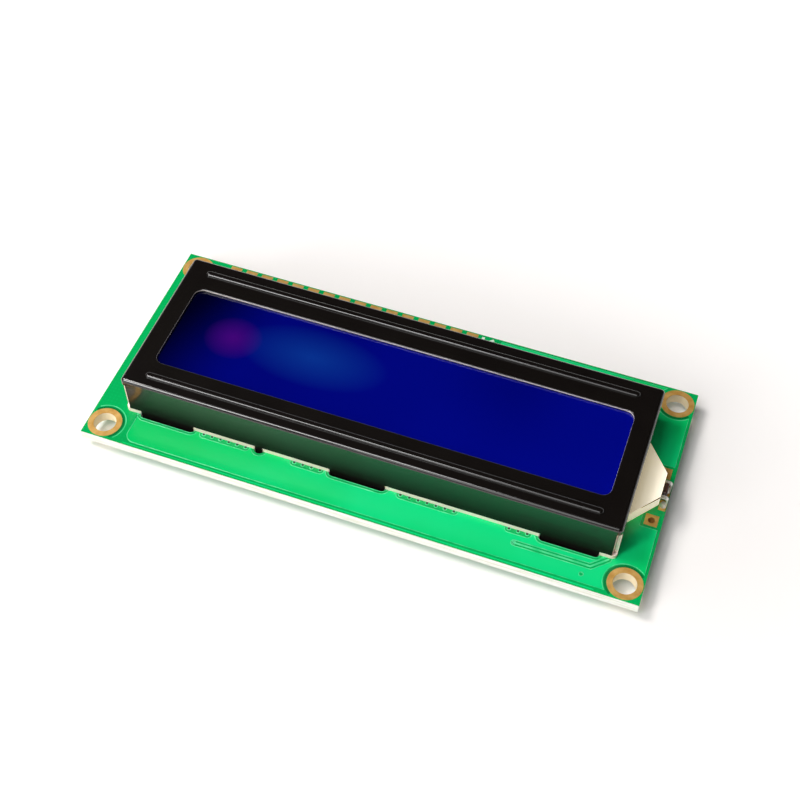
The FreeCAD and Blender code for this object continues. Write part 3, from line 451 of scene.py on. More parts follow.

# Lands: copper rings and pads round the drilled holes, left free of mask and flashed with nickel
# and gold, so they are warm orange-yellow and fairly dull. The plating's grain is far finer than a
# pixel and is drawn 1.1 mm coarse. Down the barrels of the corner holes, below BARREL_TOP and
# further out than CORNER_AREA, it is painted paler and less metallic: painted light in the
# barrels.
CORNER_AREA = (34.9, 12.5)
BARREL_TOP = 3.08
gold_flash, tree = new_finish("gold_flash_on_copper")
place = add(tree, "ShaderNodeTexCoord")
grain = add(tree, "ShaderNodeTexNoise", {"Vector": place.outputs["Object"],
            "Scale": 1 / (1.11 * MM), "Detail": 4.0})
tone = add(tree, "ShaderNodeValToRGB", {"Fac": grain.outputs["Fac"]})
tone.color_ramp.elements[0].position = 0.3
tone.color_ramp.elements[0].color = linear("#D69C46")
tone.color_ramp.elements[1].position = 0.7
tone.color_ramp.elements[1].color = linear("#F0C474")
bump = add(tree, "ShaderNodeBump", {"Height": grain.outputs["Fac"], "Strength": 0.25,
           "Distance": 0.00002})
spot = add(tree, "ShaderNodeSeparateXYZ", {"Vector": place.outputs["Object"]})
out_x = add(tree, "ShaderNodeMath", {0: spot.outputs["X"]}, operation="ABSOLUTE")
out_y = add(tree, "ShaderNodeMath", {0: spot.outputs["Y"]}, operation="ABSOLUTE")
end = add(tree, "ShaderNodeMath", {0: out_x.outputs[0], 1: CORNER_AREA[0] * MM},
          operation="GREATER_THAN")
side = add(tree, "ShaderNodeMath", {0: out_y.outputs[0], 1: CORNER_AREA[1] * MM},
           operation="GREATER_THAN")
corner = add(tree, "ShaderNodeMath", {0: end.outputs[0], 1: side.outputs[0]}, operation="MULTIPLY")
deep = add(tree, "ShaderNodeMath", {0: spot.outputs["Z"], 1: BARREL_TOP * MM},
           operation="LESS_THAN")
barrel_painted_light = add(tree, "ShaderNodeMath", {0: corner.outputs[0], 1: deep.outputs[0]},
             operation="MULTIPLY")
colour = add(tree, "ShaderNodeMix", {"Factor": barrel_painted_light.outputs[0], 6: tone.outputs["Color"],
             7: linear("#FFF0CF")}, data_type="RGBA")
metal = add(tree, "ShaderNodeMapRange", {"Value": barrel_painted_light.outputs[0], "To Min": 0.45,
            "To Max": 0.1})
gloss = add(tree, "ShaderNodeBsdfPrincipled", {"Base Color": colour.outputs[2],
            "Metallic": metal.outputs[0], "Roughness": 0.46, "Normal": bump.outputs[0]})
add(tree, "ShaderNodeOutputMaterial", {"Surface": gloss.outputs[0]})
dress(gold_flash, "mounting_lands", "header_lands", "backlight_lands", "led_lands")

# Backlight frame: cream ABS, injection moulded, which holds the light guide and the glass
# and stands on the board; its rim shows as a pale, faintly pink line below the bezel's walls.
# The fine spark finish of the mould takes off the shine.
cream_abs, tree = new_finish("moulded_cream_abs")
place = add(tree, "ShaderNodeTexCoord")
flow = add(tree, "ShaderNodeTexNoise", {"Vector": place.outputs["Object"],
           "Scale": 1 / (8.33 * MM), "Detail": 2.0})
tone = add(tree, "ShaderNodeValToRGB", {"Fac": flow.outputs["Fac"]})
tone.color_ramp.elements[0].color = linear("#FFDED0")
tone.color_ramp.elements[1].color = linear("#FFEEE4")
spark = add(tree, "ShaderNodeTexNoise", {"Vector": place.outputs["Object"],
            "Scale": 1 / (0.111 * MM), "Detail": 1.0})
bump = add(tree, "ShaderNodeBump", {"Height": spark.outputs["Fac"], "Strength": 0.2,
           "Distance": 0.00001})
gloss = add(tree, "ShaderNodeBsdfPrincipled", {"Base Color": tone.outputs["Color"],
            "Roughness": 0.45, "IOR": 1.52, "Subsurface Weight": 0.1,
            "Subsurface Scale": 0.0006, "Normal": bump.outputs[0]})
add(tree, "ShaderNodeOutputMaterial", {"Surface": gloss.outputs[0]})
dress(cream_abs, "backlight_frame")

# Films: white polyester behind, round and above the light guide; the wrap over the horn is the
# only one seen, a smooth satin white. It is given a painted glow: a faint warm emission, stronger
# along the horn towards the tip.
HORN_ALONG = (34.5, 38.8)
white_film_with_painted_glow, tree = new_finish("white_reflector_film_painted_glow")
place = add(tree, "ShaderNodeTexCoord")
flow = add(tree, "ShaderNodeTexNoise", {"Vector": place.outputs["Object"],
           "Scale": 1 / (3.85 * MM), "Detail": 3.0})
tone = add(tree, "ShaderNodeValToRGB", {"Fac": flow.outputs["Fac"]})
tone.color_ramp.elements[0].color = linear("#EDE4D2")
tone.color_ramp.elements[1].color = linear("#FBF8F0")
bump = add(tree, "ShaderNodeBump", {"Height": flow.outputs["Fac"], "Strength": 0.1,
           "Distance": 0.0001})
axis = add(tree, "ShaderNodeSeparateXYZ", {"Vector": place.outputs["Object"]})
painted_glow_along_horn = add(tree, "ShaderNodeMapRange", {"Value": axis.outputs["X"],
           "From Min": HORN_ALONG[0] * MM, "From Max": HORN_ALONG[1] * MM})
glow = add(tree, "ShaderNodeMix", {"Factor": painted_glow_along_horn.outputs[0], 6: linear("#DBCBA4"),
           7: linear("#FFEDC4")}, data_type="RGBA")
gloss = add(tree, "ShaderNodeBsdfPrincipled", {"Base Color": tone.outputs["Color"],
            "Roughness": 0.35, "IOR": 1.55, "Normal": bump.outputs[0],
            "Emission Color": glow.outputs[2], "Emission Strength": 0.46})
add(tree, "ShaderNodeOutputMaterial", {"Surface": gloss.outputs[0]})
dress(white_film_with_painted_glow, "reflector_film", "guide_wrap", "diffuser_film")

# Gap under the wrap: the film's free edge stands a little off the near side of the horn, and the
# fine dark slit that opens towards the tip is painted shadow, a thin dark block set where the
# gap's shade falls. Its ends are given as x, y and opening; it starts just under the horn's top
# face, a little inside the edge, and ends just outside it.
HORN_TOP = 6.1
SLIT_UNDER = 0.03
SLIT_INSIDE = -0.1
SLIT_OUTSIDE = 0.02
SLIT = ((36.75, -5.42, 0.1), (38.77, -2.89, 0.32))
slit_painted_shadow, tree = new_finish("painted_shadow_slit_under_film")
place = add(tree, "ShaderNodeTexCoord")
shadow_speck = add(tree, "ShaderNodeTexNoise", {"Vector": place.outputs["Object"],
           "Scale": 1 / (0.333 * MM)})
tone = add(tree, "ShaderNodeValToRGB", {"Fac": shadow_speck.outputs["Fac"]})
tone.color_ramp.elements[0].color = linear("#0E0B09")
tone.color_ramp.elements[1].color = linear("#241F1A")
gloss = add(tree, "ShaderNodeBsdfPrincipled", {"Base Color": tone.outputs["Color"],
            "Roughness": 0.8, "IOR": 1.4})
add(tree, "ShaderNodeOutputMaterial", {"Surface": gloss.outputs[0]})
edge_way = (Vector(SLIT[1][:2]) - Vector(SLIT[0][:2])).normalized()
outward = Vector((edge_way.y, -edge_way.x))
slit = bpy.data.meshes.new("wrap_slit_painted_shadow")
corners = []
for x, y, opening in SLIT:
    for reach, drop in ((SLIT_INSIDE, 0.0), (SLIT_INSIDE, opening), (SLIT_OUTSIDE, opening),
                        (SLIT_OUTSIDE, 0.0)):
        spot = Vector((x, y)) + outward * reach
        corners.append((spot.x * MM, spot.y * MM, (HORN_TOP - SLIT_UNDER - drop) * MM))
slit.from_pydata(corners, [], [(0, 1, 2, 3), (4, 7, 6, 5), (0, 4, 5, 1), (1, 5, 6, 2),
                               (2, 6, 7, 3), (3, 7, 4, 0)])
settle("wrap_slit_painted_shadow", slit, slit_painted_shadow)

# Light guide: 3.6 mm cast acrylic, laser cut and flame polished, clear with a faint blue
# at its edges; light enters at the horn's tip.
clear_acrylic, tree = new_finish("polished_clear_acrylic")
place = add(tree, "ShaderNodeTexCoord")
haze = add(tree, "ShaderNodeTexNoise", {"Vector": place.outputs["Object"], "Scale": 1 / (2.5 * MM),
           "Detail": 2.0})
rough = add(tree, "ShaderNodeMapRange", {"Value": haze.outputs["Fac"], "To Min": 0.04,
            "To Max": 0.12})
gloss = add(tree, "ShaderNodeBsdfPrincipled", {"Base Color": linear("#F2F8FA"),
            "Roughness": rough.outputs[0], "IOR": 1.49, "Transmission Weight": 0.9})
add(tree, "ShaderNodeOutputMaterial", {"Surface": gloss.outputs[0]})
dress(clear_acrylic, "light_guide")

# Lamp: a side-firing diode cast in yellow phosphor resin, on two bent tinned leads that are
# soldered to small pads at the board's edge.
phosphor_resin, tree = new_finish("cast_phosphor_resin")
place = add(tree, "ShaderNodeTexCoord")
speck = add(tree, "ShaderNodeTexNoise", {"Vector": place.outputs["Object"],
            "Scale": 1 / (0.286 * MM), "Detail": 2.0})
tone = add(tree, "ShaderNodeValToRGB", {"Fac": speck.outputs["Fac"]})
tone.color_ramp.elements[0].color = linear("#D8C25E")
tone.color_ramp.elements[1].color = linear("#F2E7A0")
gloss = add(tree, "ShaderNodeBsdfPrincipled", {"Base Color": tone.outputs["Color"],
            "Roughness": 0.2, "IOR": 1.5})
add(tree, "ShaderNodeOutputMaterial", {"Surface": gloss.outputs[0]})
dress(phosphor_resin, "led_lamp")

# Back of the lamp: a glossy brown-black block with rounded edges, set between the two leads, which
# makes the space between them dark.
LAMP_BACK = (0.72, 1.86, 1.9)
LAMP_BACK_AT = (39.165, -0.85, 4.72)
LAMP_BACK_ROUND = 0.22
dark_block_finish, tree = new_finish("brown_black_lamp_block")
place = add(tree, "ShaderNodeTexCoord")
flow = add(tree, "ShaderNodeTexNoise", {"Vector": place.outputs["Object"],
           "Scale": 1 / (0.667 * MM), "Detail": 2.0})
tone = add(tree, "ShaderNodeValToRGB", {"Fac": flow.outputs["Fac"]})
tone.color_ramp.elements[0].color = linear("#1E1310")
tone.color_ramp.elements[1].color = linear("#4A332B")
gloss = add(tree, "ShaderNodeBsdfPrincipled", {"Base Color": tone.outputs["Color"],
            "Roughness": 0.25, "IOR": 1.55})
add(tree, "ShaderNodeOutputMaterial", {"Surface": gloss.outputs[0]})
block = bmesh.new()
bmesh.ops.create_cube(block, size=1.0)
bmesh.ops.scale(block, vec=Vector(LAMP_BACK) * MM, verts=block.verts)
bmesh.ops.translate(block, vec=Vector(LAMP_BACK_AT) * MM, verts=block.verts)
bmesh.ops.bevel(block, geom=list(block.edges), offset=LAMP_BACK_ROUND * MM, segments=4,
                profile=0.5, affect="EDGES")
lamp_back = bpy.data.meshes.new("lamp_back")
block.to_mesh(lamp_back)
block.free()
settle("lamp_back", lamp_back, dark_block_finish)

# Tinned copper and solder: bright, slightly rippled and a touch grey where it froze.
bright_tin, tree = new_finish("tinned_copper_and_solder")
place = add(tree, "ShaderNodeTexCoord")
ripple = add(tree, "ShaderNodeTexNoise", {"Vector": place.outputs["Object"],
             "Scale": 1 / (0.625 * MM), "Detail": 3.0})
tone = add(tree, "ShaderNodeValToRGB", {"Fac": ripple.outputs["Fac"]})
tone.color_ramp.elements[0].color = linear("#DAD7CE")
tone.color_ramp.elements[1].color = linear("#FAF8F2")
rough = add(tree, "ShaderNodeMapRange", {"Value": ripple.outputs["Fac"], "To Min": 0.28,
            "To Max": 0.45})
bump = add(tree, "ShaderNodeBump", {"Height": ripple.outputs["Fac"], "Strength": 0.3,
           "Distance": 0.00003})
gloss = add(tree, "ShaderNodeBsdfPrincipled", {"Base Color": tone.outputs["Color"],
            "Metallic": 0.5, "Roughness": rough.outputs[0], "Normal": bump.outputs[0]})
add(tree, "ShaderNodeOutputMaterial", {"Surface": gloss.outputs[0]})
dress(bright_tin, "led_leads", "led_solder", "resistor_caps", "capacitor_caps")

# Connector strips: layered silicone rubber, thin carbon-filled layers between clear ones,
# pressed between the glass ledges and the board's rows of contacts.
layered_rubber, tree = new_finish("layered_silicone_rubber")
place = add(tree, "ShaderNodeTexCoord")
bands = add(tree, "ShaderNodeTexWave", {"Vector": place.outputs["Object"],
            "Scale": WAVE / (0.2 * MM)}, bands_direction="X")
tone = add(tree, "ShaderNodeValToRGB", {"Fac": bands.outputs["Fac"]})
tone.color_ramp.elements[0].color = linear("#1C1A1A")
tone.color_ramp.elements[1].color = linear("#C9BDB6")
gloss = add(tree, "ShaderNodeBsdfPrincipled", {"Base Color": tone.outputs["Color"],
            "Roughness": 0.7, "IOR": 1.43})
add(tree, "ShaderNodeOutputMaterial", {"Surface": gloss.outputs[0]})
dress(layered_rubber, "zebra_strip_front", "zebra_strip_back")

# Liquid-crystal cell: two sheets of 1.1 mm float glass, glued at the edge, with the crystal
# between them and a polarising film on each outside face. The glass is clear with a faint
# green at its cut edges.
float_glass, tree = new_finish("cut_float_glass")
place = add(tree, "ShaderNodeTexCoord")
smear = add(tree, "ShaderNodeTexNoise", {"Vector": place.outputs["Object"],
            "Scale": 1 / (16.7 * MM)})
rough = add(tree, "ShaderNodeMapRange", {"Value": smear.outputs["Fac"], "To Min": 0.0,
            "To Max": 0.04})
gloss = add(tree, "ShaderNodeBsdfPrincipled", {"Base Color": linear("#DCEFEA"),
            "Roughness": rough.outputs[0], "IOR": 1.52, "Transmission Weight": 1.0})
add(tree, "ShaderNodeOutputMaterial", {"Surface": gloss.outputs[0]})
dress(float_glass, "rear_glass", "front_glass")

# Seal: a bead of epoxy, dull yellow-grey and a little lumpy.
edge_glue, tree = new_finish("cured_seal_epoxy")
place = add(tree, "ShaderNodeTexCoord")
lump = add(tree, "ShaderNodeTexNoise", {"Vector": place.outputs["Object"],
           "Scale": 1 / (1.43 * MM)})
tone = add(tree, "ShaderNodeValToRGB", {"Fac": lump.outputs["Fac"]})
tone.color_ramp.elements[0].color = linear("#A9A486")
tone.color_ramp.elements[1].color = linear("#CFCAB0")
gloss = add(tree, "ShaderNodeBsdfPrincipled", {"Base Color": tone.outputs["Color"],
            "Roughness": 0.5, "IOR": 1.5})
add(tree, "ShaderNodeOutputMaterial", {"Surface": gloss.outputs[0]})
dress(edge_glue, "cell_seal")

# Blue polariser: what the eye takes as the display, a deep even blue under a smooth film. Painted
# shade darkens it towards the left end, and a paler and a purplish patch are painted reflections,
# each patch given by its centre and its half sizes.
SHADED_LEFT_END = (-34.0, -18.5)
PALE_REFLECTION_PATCH = ((-12.22, 0.526, 9.6), (11.11, 5.263, 10.0))
PLUM_REFLECTION_PATCH = ((-24.13, 0.0, 9.545), (4.348, 3.846, 4.545))
blue_film, tree = new_finish("blue_polarising_film")
place = add(tree, "ShaderNodeTexCoord")
axis = add(tree, "ShaderNodeSeparateXYZ", {"Vector": place.outputs["Object"]})
# Painted shade: the blue darkens towards the left end.
slant = add(tree, "ShaderNodeMath", {0: axis.outputs["Y"], 1: -0.35, 2: axis.outputs["X"]},
            operation="MULTIPLY_ADD")
lift = add(tree, "ShaderNodeMapRange", {"Value": slant.outputs[0], "From Min": SHADED_LEFT_END[0] * MM,
           "From Max": SHADED_LEFT_END[1] * MM}, interpolation_type="SMOOTHSTEP")
drift = add(tree, "ShaderNodeTexNoise", {"Vector": place.outputs["Object"],
            "Scale": 1 / (26.3 * MM), "Detail": 1.0})
tone = add(tree, "ShaderNodeValToRGB", {"Fac": drift.outputs["Fac"]})
tone.color_ramp.elements[0].position = 0.3
tone.color_ramp.elements[0].color = linear("#000470")
tone.color_ramp.elements[1].position = 0.7
tone.color_ramp.elements[1].color = linear("#010888")
even = add(tree, "ShaderNodeMix", {"Factor": lift.outputs[0], 6: linear("#00001C"),
           7: tone.outputs["Color"]}, data_type="RGBA")


def patch(centre, half_sizes):
    """A soft round patch: 1 at its centre, falling to 0 at its rim."""
    moved = [-at / half for at, half in zip(centre, half_sizes)]
    spread = [1 / (half * MM) for half in half_sizes]
    within = add(tree, "ShaderNodeMapping", {"Vector": place.outputs["Object"],
                 "Location": moved, "Scale": spread})
    return add(tree, "ShaderNodeTexGradient", {"Vector": within.outputs[0]},
               gradient_type="SPHERICAL")


# Painted reflections: a paler and a purplish patch over the blue.
pale = patch(*PALE_REFLECTION_PATCH)
pale_reflection_level = add(tree, "ShaderNodeMath", {0: pale.outputs["Fac"], 1: 0.7}, operation="MULTIPLY")
with_pale_reflection = add(tree, "ShaderNodeMix", {"Factor": pale_reflection_level.outputs[0], 6: even.outputs[2],
            7: linear("#0A3A96")}, data_type="RGBA")
plum = patch(*PLUM_REFLECTION_PATCH)
plum_reflection_level = add(tree, "ShaderNodeMath", {0: plum.outputs["Fac"], 1: 1.1}, operation="MULTIPLY",
                 use_clamp=True)
colour = add(tree, "ShaderNodeMix", {"Factor": plum_reflection_level.outputs[0], 6: with_pale_reflection.outputs[2],
             7: linear("#3E0574")}, data_type="RGBA")
gloss = add(tree, "ShaderNodeBsdfPrincipled", {"Base Color": colour.outputs[2],
            "Roughness": 0.16, "IOR": 1.49, "Specular IOR Level": 0.35})
add(tree, "ShaderNodeOutputMaterial", {"Surface": gloss.outputs[0]})
dress(blue_film, "front_polariser", "rear_polariser", "liquid_crystal")

# Bezel: 0.45 mm steel sheet, painted gloss black in the coil, then pierced, beaded and
# folded; its tabs go through the board's slots and are clinched behind.

# Coil paint: black with a slight haze, under a gloss that mirrors what is near it. The gloss coat
# fades out towards the foot of the walls, which darkens their reflection there as painted shade.
# Every cut edge shows bare bright steel. The cuts are the upright faces inside the walls' outer
# faces: those of the walls lie below UNDER_SHEET, and round the window the steel shows between
# RIM_LIP and BELOW_TOP only. The steel's grain is drawn 1.1 mm coarse so that it shows.
BEZEL_CENTRE = (-0.05, -0.3)
INSIDE_WALLS = (35.3, 11.95)
BELOW_TOP = 10.05
RIM_LIP = 9.84
UNDER_SHEET = 9.6
GLOSS_FADE = (4.8, 9.7)
black_paint, tree = new_finish("gloss_black_paint_on_steel")
place = add(tree, "ShaderNodeTexCoord")
spot = add(tree, "ShaderNodeSeparateXYZ", {"Vector": place.outputs["Object"]})
turn = add(tree, "ShaderNodeSeparateXYZ", {"Vector": place.outputs["Normal"]})
side_x = add(tree, "ShaderNodeMath", {0: turn.outputs["X"]}, operation="ABSOLUTE")
side_y = add(tree, "ShaderNodeMath", {0: turn.outputs["Y"]}, operation="ABSOLUTE")
tilt = add(tree, "ShaderNodeMath", {0: turn.outputs["Z"]}, operation="ABSOLUTE")
off_x = add(tree, "ShaderNodeMath", {0: spot.outputs["X"], 1: -BEZEL_CENTRE[0] * MM})
reach_x = add(tree, "ShaderNodeMath", {0: off_x.outputs[0]}, operation="ABSOLUTE")
deep_x = add(tree, "ShaderNodeMath", {0: INSIDE_WALLS[0] * MM, 1: reach_x.outputs[0]},
             operation="SUBTRACT")
off_y = add(tree, "ShaderNodeMath", {0: spot.outputs["Y"], 1: -BEZEL_CENTRE[1] * MM})
reach_y = add(tree, "ShaderNodeMath", {0: off_y.outputs[0]}, operation="ABSOLUTE")
deep_y = add(tree, "ShaderNodeMath", {0: INSIDE_WALLS[1] * MM, 1: reach_y.outputs[0]},
             operation="SUBTRACT")
faces_x = add(tree, "ShaderNodeMath", {0: side_x.outputs[0], 1: side_y.outputs[0]},
              operation="GREATER_THAN")
depth = add(tree, "ShaderNodeMix", {"Factor": faces_x.outputs[0], 2: deep_y.outputs[0],
            3: deep_x.outputs[0]})
inner = add(tree, "ShaderNodeMath", {0: depth.outputs[0], 1: 0.0}, operation="GREATER_THAN")
steep = add(tree, "ShaderNodeMath", {0: tilt.outputs[0], 1: 0.5}, operation="LESS_THAN")
below = add(tree, "ShaderNodeMath", {0: spot.outputs["Z"], 1: BELOW_TOP * MM},
            operation="LESS_THAN")
cut = add(tree, "ShaderNodeMath", {0: inner.outputs[0], 1: steep.outputs[0]}, operation="MULTIPLY")
lip = add(tree, "ShaderNodeMath", {0: spot.outputs["Z"], 1: RIM_LIP * MM},
          operation="GREATER_THAN")
skirt = add(tree, "ShaderNodeMath", {0: spot.outputs["Z"], 1: UNDER_SHEET * MM},
            operation="LESS_THAN")
clean = add(tree, "ShaderNodeMath", {0: lip.outputs[0], 1: skirt.outputs[0]}, operation="MAXIMUM")
zone = add(tree, "ShaderNodeMath", {0: below.outputs[0], 1: clean.outputs[0]},
           operation="MULTIPLY")
bare = add(tree, "ShaderNodeMath", {0: cut.outputs[0], 1: zone.outputs[0]}, operation="MULTIPLY")
flake = add(tree, "ShaderNodeTexNoise", {"Vector": place.outputs["Object"],
            "Scale": 1 / (5.56 * MM), "Detail": 3.0})
tone = add(tree, "ShaderNodeValToRGB", {"Fac": flake.outputs["Fac"]})
tone.color_ramp.elements[0].color = linear("#0E0B0A")
tone.color_ramp.elements[1].color = linear("#15110F")
steel_grain = add(tree, "ShaderNodeTexNoise", {"Vector": place.outputs["Object"],
                  "Scale": 1 / (1.11 * MM), "Detail": 3.0})
steel = add(tree, "ShaderNodeValToRGB", {"Fac": steel_grain.outputs["Fac"]})
steel.color_ramp.elements[0].color = linear("#E6D9D4")
steel.color_ramp.elements[1].color = linear("#FFF4F0")
colour = add(tree, "ShaderNodeMix", {"Factor": bare.outputs[0], 6: tone.outputs["Color"],
             7: steel.outputs["Color"]}, data_type="RGBA")
metal = add(tree, "ShaderNodeMapRange", {"Value": bare.outputs[0], "To Max": 0.35})
haze = add(tree, "ShaderNodeMapRange", {"Value": flake.outputs["Fac"], "To Min": 0.34,
           "To Max": 0.42})
peel = add(tree, "ShaderNodeTexNoise", {"Vector": place.outputs["Object"],
           "Scale": 1 / (1.43 * MM), "Detail": 1.0})
bump = add(tree, "ShaderNodeBump", {"Height": peel.outputs["Fac"], "Strength": 0.04,
           "Distance": 0.00003})
coat_fade_for_painted_shade = add(tree, "ShaderNodeMapRange", {"Value": spot.outputs["Z"],
              "From Min": GLOSS_FADE[0] * MM, "From Max": GLOSS_FADE[1] * MM})
gloss = add(tree, "ShaderNodeBsdfPrincipled", {"Base Color": colour.outputs[2],
            "Metallic": metal.outputs[0], "Roughness": haze.outputs[0], "IOR": 1.22,
            "Coat Weight": coat_fade_for_painted_shade.outputs[0], "Coat Roughness": 0.09, "Coat IOR": 1.65,
            "Normal": bump.outputs[0], "Coat Normal": bump.outputs[0]})
add(tree, "ShaderNodeOutputMaterial", {"Surface": gloss.outputs[0]})
dress(black_paint, "bezel")

# Chips: two bare silicon dies glued to the back of the board and wired to it, each under a
# flat drop of black epoxy, which lets the module lie level. The silicon is a grey mirror broken
# up by its cells, drawn 0.4 mm wide.
bare_silicon, tree = new_finish("bare_silicon_die")
place = add(tree, "ShaderNodeTexCoord")
cells = add(tree, "ShaderNodeTexVoronoi", {"Vector": place.outputs["Object"],
            "Scale": 1 / (0.4 * MM)})
tone = add(tree, "ShaderNodeValToRGB", {"Fac": cells.outputs["Distance"]})
tone.color_ramp.elements[0].color = linear("#3A3D46")
tone.color_ramp.elements[1].color = linear("#6F7480")
gloss = add(tree, "ShaderNodeBsdfPrincipled", {"Base Color": tone.outputs["Color"],
            "Roughness": 0.2, "Metallic": 0.3})
add(tree, "ShaderNodeOutputMaterial", {"Surface": gloss.outputs[0]})
dress(bare_silicon, "controller_die", "driver_die")

# Poured epoxy: black, half glossy and slightly wavy from its own flow.
black_epoxy, tree = new_finish("poured_black_epoxy")
place = add(tree, "ShaderNodeTexCoord")
flow = add(tree, "ShaderNodeTexNoise", {"Vector": place.outputs["Object"],
           "Scale": 1 / (2.86 * MM), "Detail": 4.0})
tone = add(tree, "ShaderNodeValToRGB", {"Fac": flow.outputs["Fac"]})
tone.color_ramp.elements[0].color = linear("#121213")
tone.color_ramp.elements[1].color = linear("#242426")
bump = add(tree, "ShaderNodeBump", {"Height": flow.outputs["Fac"], "Strength": 0.25,
           "Distance": 0.0001})
gloss = add(tree, "ShaderNodeBsdfPrincipled", {"Base Color": tone.outputs["Color"],
            "Roughness": 0.38, "IOR": 1.55, "Normal": bump.outputs[0]})
add(tree, "ShaderNodeOutputMaterial", {"Surface": gloss.outputs[0]})
dress(black_epoxy, "controller_blob", "driver_blob")

# Chip resistors and capacitors: fired ceramic blocks, the resistors with a black glaze on
# their face, soldered between pads on the back.
black_glaze, tree = new_finish("glazed_resistor_ceramic")
place = add(tree, "ShaderNodeTexCoord")
turn = add(tree, "ShaderNodeSeparateXYZ", {"Vector": place.outputs["Normal"]})
down = add(tree, "ShaderNodeMapRange", {"Value": turn.outputs["Z"], "From Min": -0.6,
           "From Max": -0.4})
colour = add(tree, "ShaderNodeMix", {"Factor": down.outputs[0], 6: linear("#17171A"),
             7: linear("#E2DFD8")}, data_type="RGBA")
gloss = add(tree, "ShaderNodeBsdfPrincipled", {"Base Color": colour.outputs[2],
            "Roughness": 0.35, "IOR": 1.6})
add(tree, "ShaderNodeOutputMaterial", {"Surface": gloss.outputs[0]})
dress(black_glaze, "resistor_bodies")

# Capacitor ceramic: fired, tan and matt, with a fine speck.
tan_ceramic, tree = new_finish("fired_tan_ceramic")
place = add(tree, "ShaderNodeTexCoord")
speck = add(tree, "ShaderNodeTexNoise", {"Vector": place.outputs["Object"],
            "Scale": 1 / (0.25 * MM)})
tone = add(tree, "ShaderNodeValToRGB", {"Fac": speck.outputs["Fac"]})
tone.color_ramp.elements[0].color = linear("#8A6A45")
tone.color_ramp.elements[1].color = linear("#B08A5E")
gloss = add(tree, "ShaderNodeBsdfPrincipled", {"Base Color": tone.outputs["Color"],
            "Roughness": 0.5, "IOR": 1.6})
add(tree, "ShaderNodeOutputMaterial", {"Surface": gloss.outputs[0]})
dress(tan_ceramic, "capacitor_bodies")

# Stage: a pale floor under the module that runs out to plain white at about 220 mm, so that
# only the soft shadow shows. The camera sees it lifted a little, and least in the oval of
# NEAR_OVAL round the module, where the shadow lies.
FLOOR_RADIUS = 1500
FLOOR_LEVEL = -0.01
WHITE_REACH = 333
NEAR_OVAL = (100, 55.6)
floor_mesh = bpy.data.meshes.new("floor")
rim = ring(0, 0, FLOOR_RADIUS, 48)
floor_mesh.from_pydata([(x * MM, y * MM, FLOOR_LEVEL * MM) for x, y in rim], [],
                       [list(range(len(rim)))])
floor = bpy.data.objects.new("floor", floor_mesh)
scene.collection.objects.link(floor)
pale_floor, tree = new_finish("pale_floor")
place = add(tree, "ShaderNodeTexCoord")
spread = add(tree, "ShaderNodeMapping", {"Vector": place.outputs["Object"],
             "Scale": [1 / (WHITE_REACH * MM)] * 3})
near = add(tree, "ShaderNodeTexGradient", {"Vector": spread.outputs[0]},
           gradient_type="SPHERICAL")
ray = add(tree, "ShaderNodeLightPath")
matt = add(tree, "ShaderNodeBsdfDiffuse", {"Color": linear("#FBF8F7")})
oval = add(tree, "ShaderNodeMapping", {"Vector": place.outputs["Object"],
           "Scale": (1 / (NEAR_OVAL[0] * MM), 1 / (NEAR_OVAL[1] * MM), 1.0)})
by_module = add(tree, "ShaderNodeTexGradient", {"Vector": oval.outputs[0]},
                gradient_type="SPHERICAL")
lift = add(tree, "ShaderNodeMapRange", {"Value": by_module.outputs["Fac"], "From Min": 0.0,
           "From Max": 0.5, "To Min": 0.3, "To Max": 0.06})
glow = add(tree, "ShaderNodeEmission", {"Color": linear("#FFFFFF"), "Strength": lift.outputs[0]})
lit = add(tree, "ShaderNodeAddShader", {0: matt.outputs[0], 1: glow.outputs[0]})
white = add(tree, "ShaderNodeEmission", {"Color": linear("#FFFFFF"), "Strength": 1.0})
edge = add(tree, "ShaderNodeMapRange", {"Value": near.outputs["Fac"], "From Min": 0.35,
           "From Max": 0.6})
shown = add(tree, "ShaderNodeMixShader", {0: edge.outputs[0], 1: white.outputs[0],
            2: lit.outputs[0]})
surface = add(tree, "ShaderNodeMixShader", {0: ray.outputs["Is Camera Ray"], 1: matt.outputs[0],
              2: shown.outputs[0]})
add(tree, "ShaderNodeOutputMaterial", {"Surface": surface.outputs[0]})
floor_mesh.materials.append(pale_floor)

# Light: a soft box high on the left, which throws the bezel's shadow to the right, a long
# strip at the front left, which draws the lines of light on the beads and bends, a long weak
# card further forward, and an even fill. Mirrors see a white sweep behind and dark above it.
def lamp(name, where, size, power, tint):
    """A rectangle of soft light that faces the module."""
    light = bpy.data.lights.new(name, "AREA")
    light.shape = "RECTANGLE"
    light.size, light.size_y = size
    light.energy = power
    light.color = linear(tint)[:3]
    made = bpy.data.objects.new(name, light)
    made.location = where
    made.rotation_euler = (-Vector(where)).to_track_quat("-Z", "Y").to_euler()
    made.visible_camera = False
    scene.collection.objects.link(made)


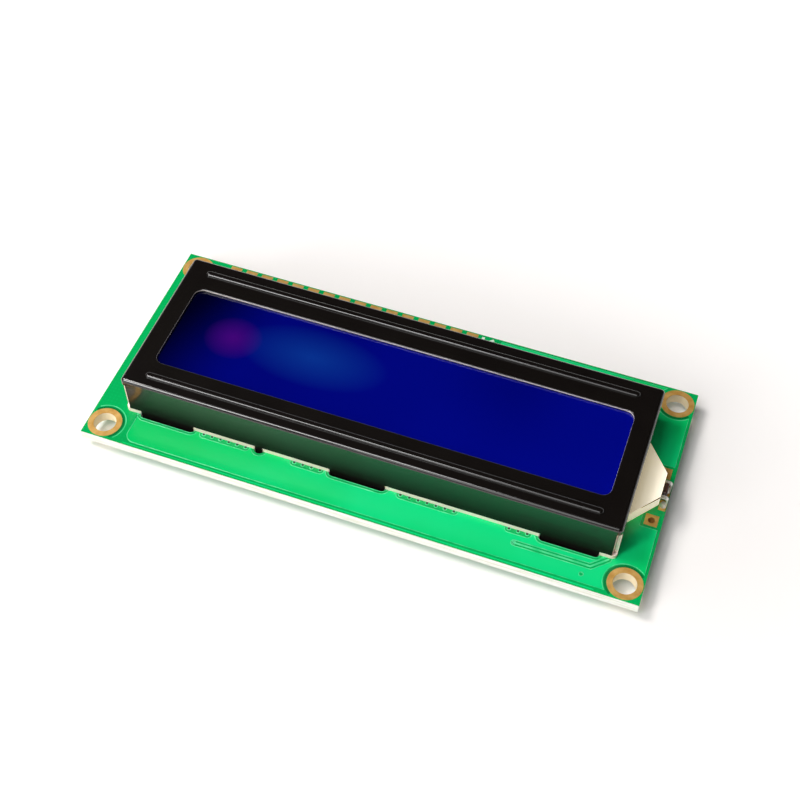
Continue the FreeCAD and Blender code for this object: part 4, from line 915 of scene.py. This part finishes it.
lamp("key_softbox", (-0.49, -0.06, 0.81), (0.30, 0.24), 4.6, "#FFFCF8")
lamp("front_strip", (-0.245, -0.365, 0.365), (0.11, 0.90), 3.0, "#FFFFFF")
lamp("front_card", (-0.08, -0.60, 0.60), (0.22, 0.80), 1.15, "#FFFFFF")

world = bpy.data.worlds.new("studio")
scene.world = world
world.use_nodes = True
tree = world.node_tree
tree.nodes.clear()
way = add(tree, "ShaderNodeTexCoord")
height = add(tree, "ShaderNodeSeparateXYZ", {"Vector": way.outputs["Generated"]})
sweep = add(tree, "ShaderNodeMapRange", {"Value": height.outputs["Z"], "From Min": 0.18,
            "From Max": 0.42, "To Min": 1.0, "To Max": 0.0})
behind = add(tree, "ShaderNodeMapRange", {"Value": height.outputs["Y"], "From Min": -0.35,
             "From Max": 0.15, "To Min": 0.12, "To Max": 1.0})
studio = add(tree, "ShaderNodeMath", {0: sweep.outputs[0], 1: behind.outputs[0]},
             operation="MULTIPLY")
ray = add(tree, "ShaderNodeLightPath")
mirror = add(tree, "ShaderNodeMath", {0: ray.outputs["Is Glossy Ray"],
             1: ray.outputs["Is Transmission Ray"]}, operation="MAXIMUM")
fill = add(tree, "ShaderNodeMix", {"Factor": mirror.outputs[0], 2: 0.07, 3: studio.outputs[0]})
level = add(tree, "ShaderNodeMath", {0: fill.outputs[0], 1: ray.outputs["Is Camera Ray"]},
            operation="MAXIMUM")
sky = add(tree, "ShaderNodeBackground", {"Color": linear("#FFFFFF"),
          "Strength": level.outputs[0]})
add(tree, "ShaderNodeOutputWorld", {"Surface": sky.outputs[0]})

# Camera: where the photograph was taken from, about 190 mm off, half above and a little to
# the right of the front. Its axes are those that were fitted to the board's corners and holes.
lens = bpy.data.cameras.new("camera")
lens.sensor_width = 36.0
lens.lens = 59.71
lens.clip_start = 0.005
camera = bpy.data.objects.new("camera", lens)
right = Vector((0.941, 0.3382, 0.0101)).normalized()
back = Vector((0.196, -0.5692, 0.7985)).normalized()
up = back.cross(right).normalized()
turn = Matrix((right, up, back)).transposed().to_4x4()
camera.matrix_world = Matrix.Translation((0.0372, -0.1053, 0.15429)) @ turn
scene.collection.objects.link(camera)
scene.camera = camera
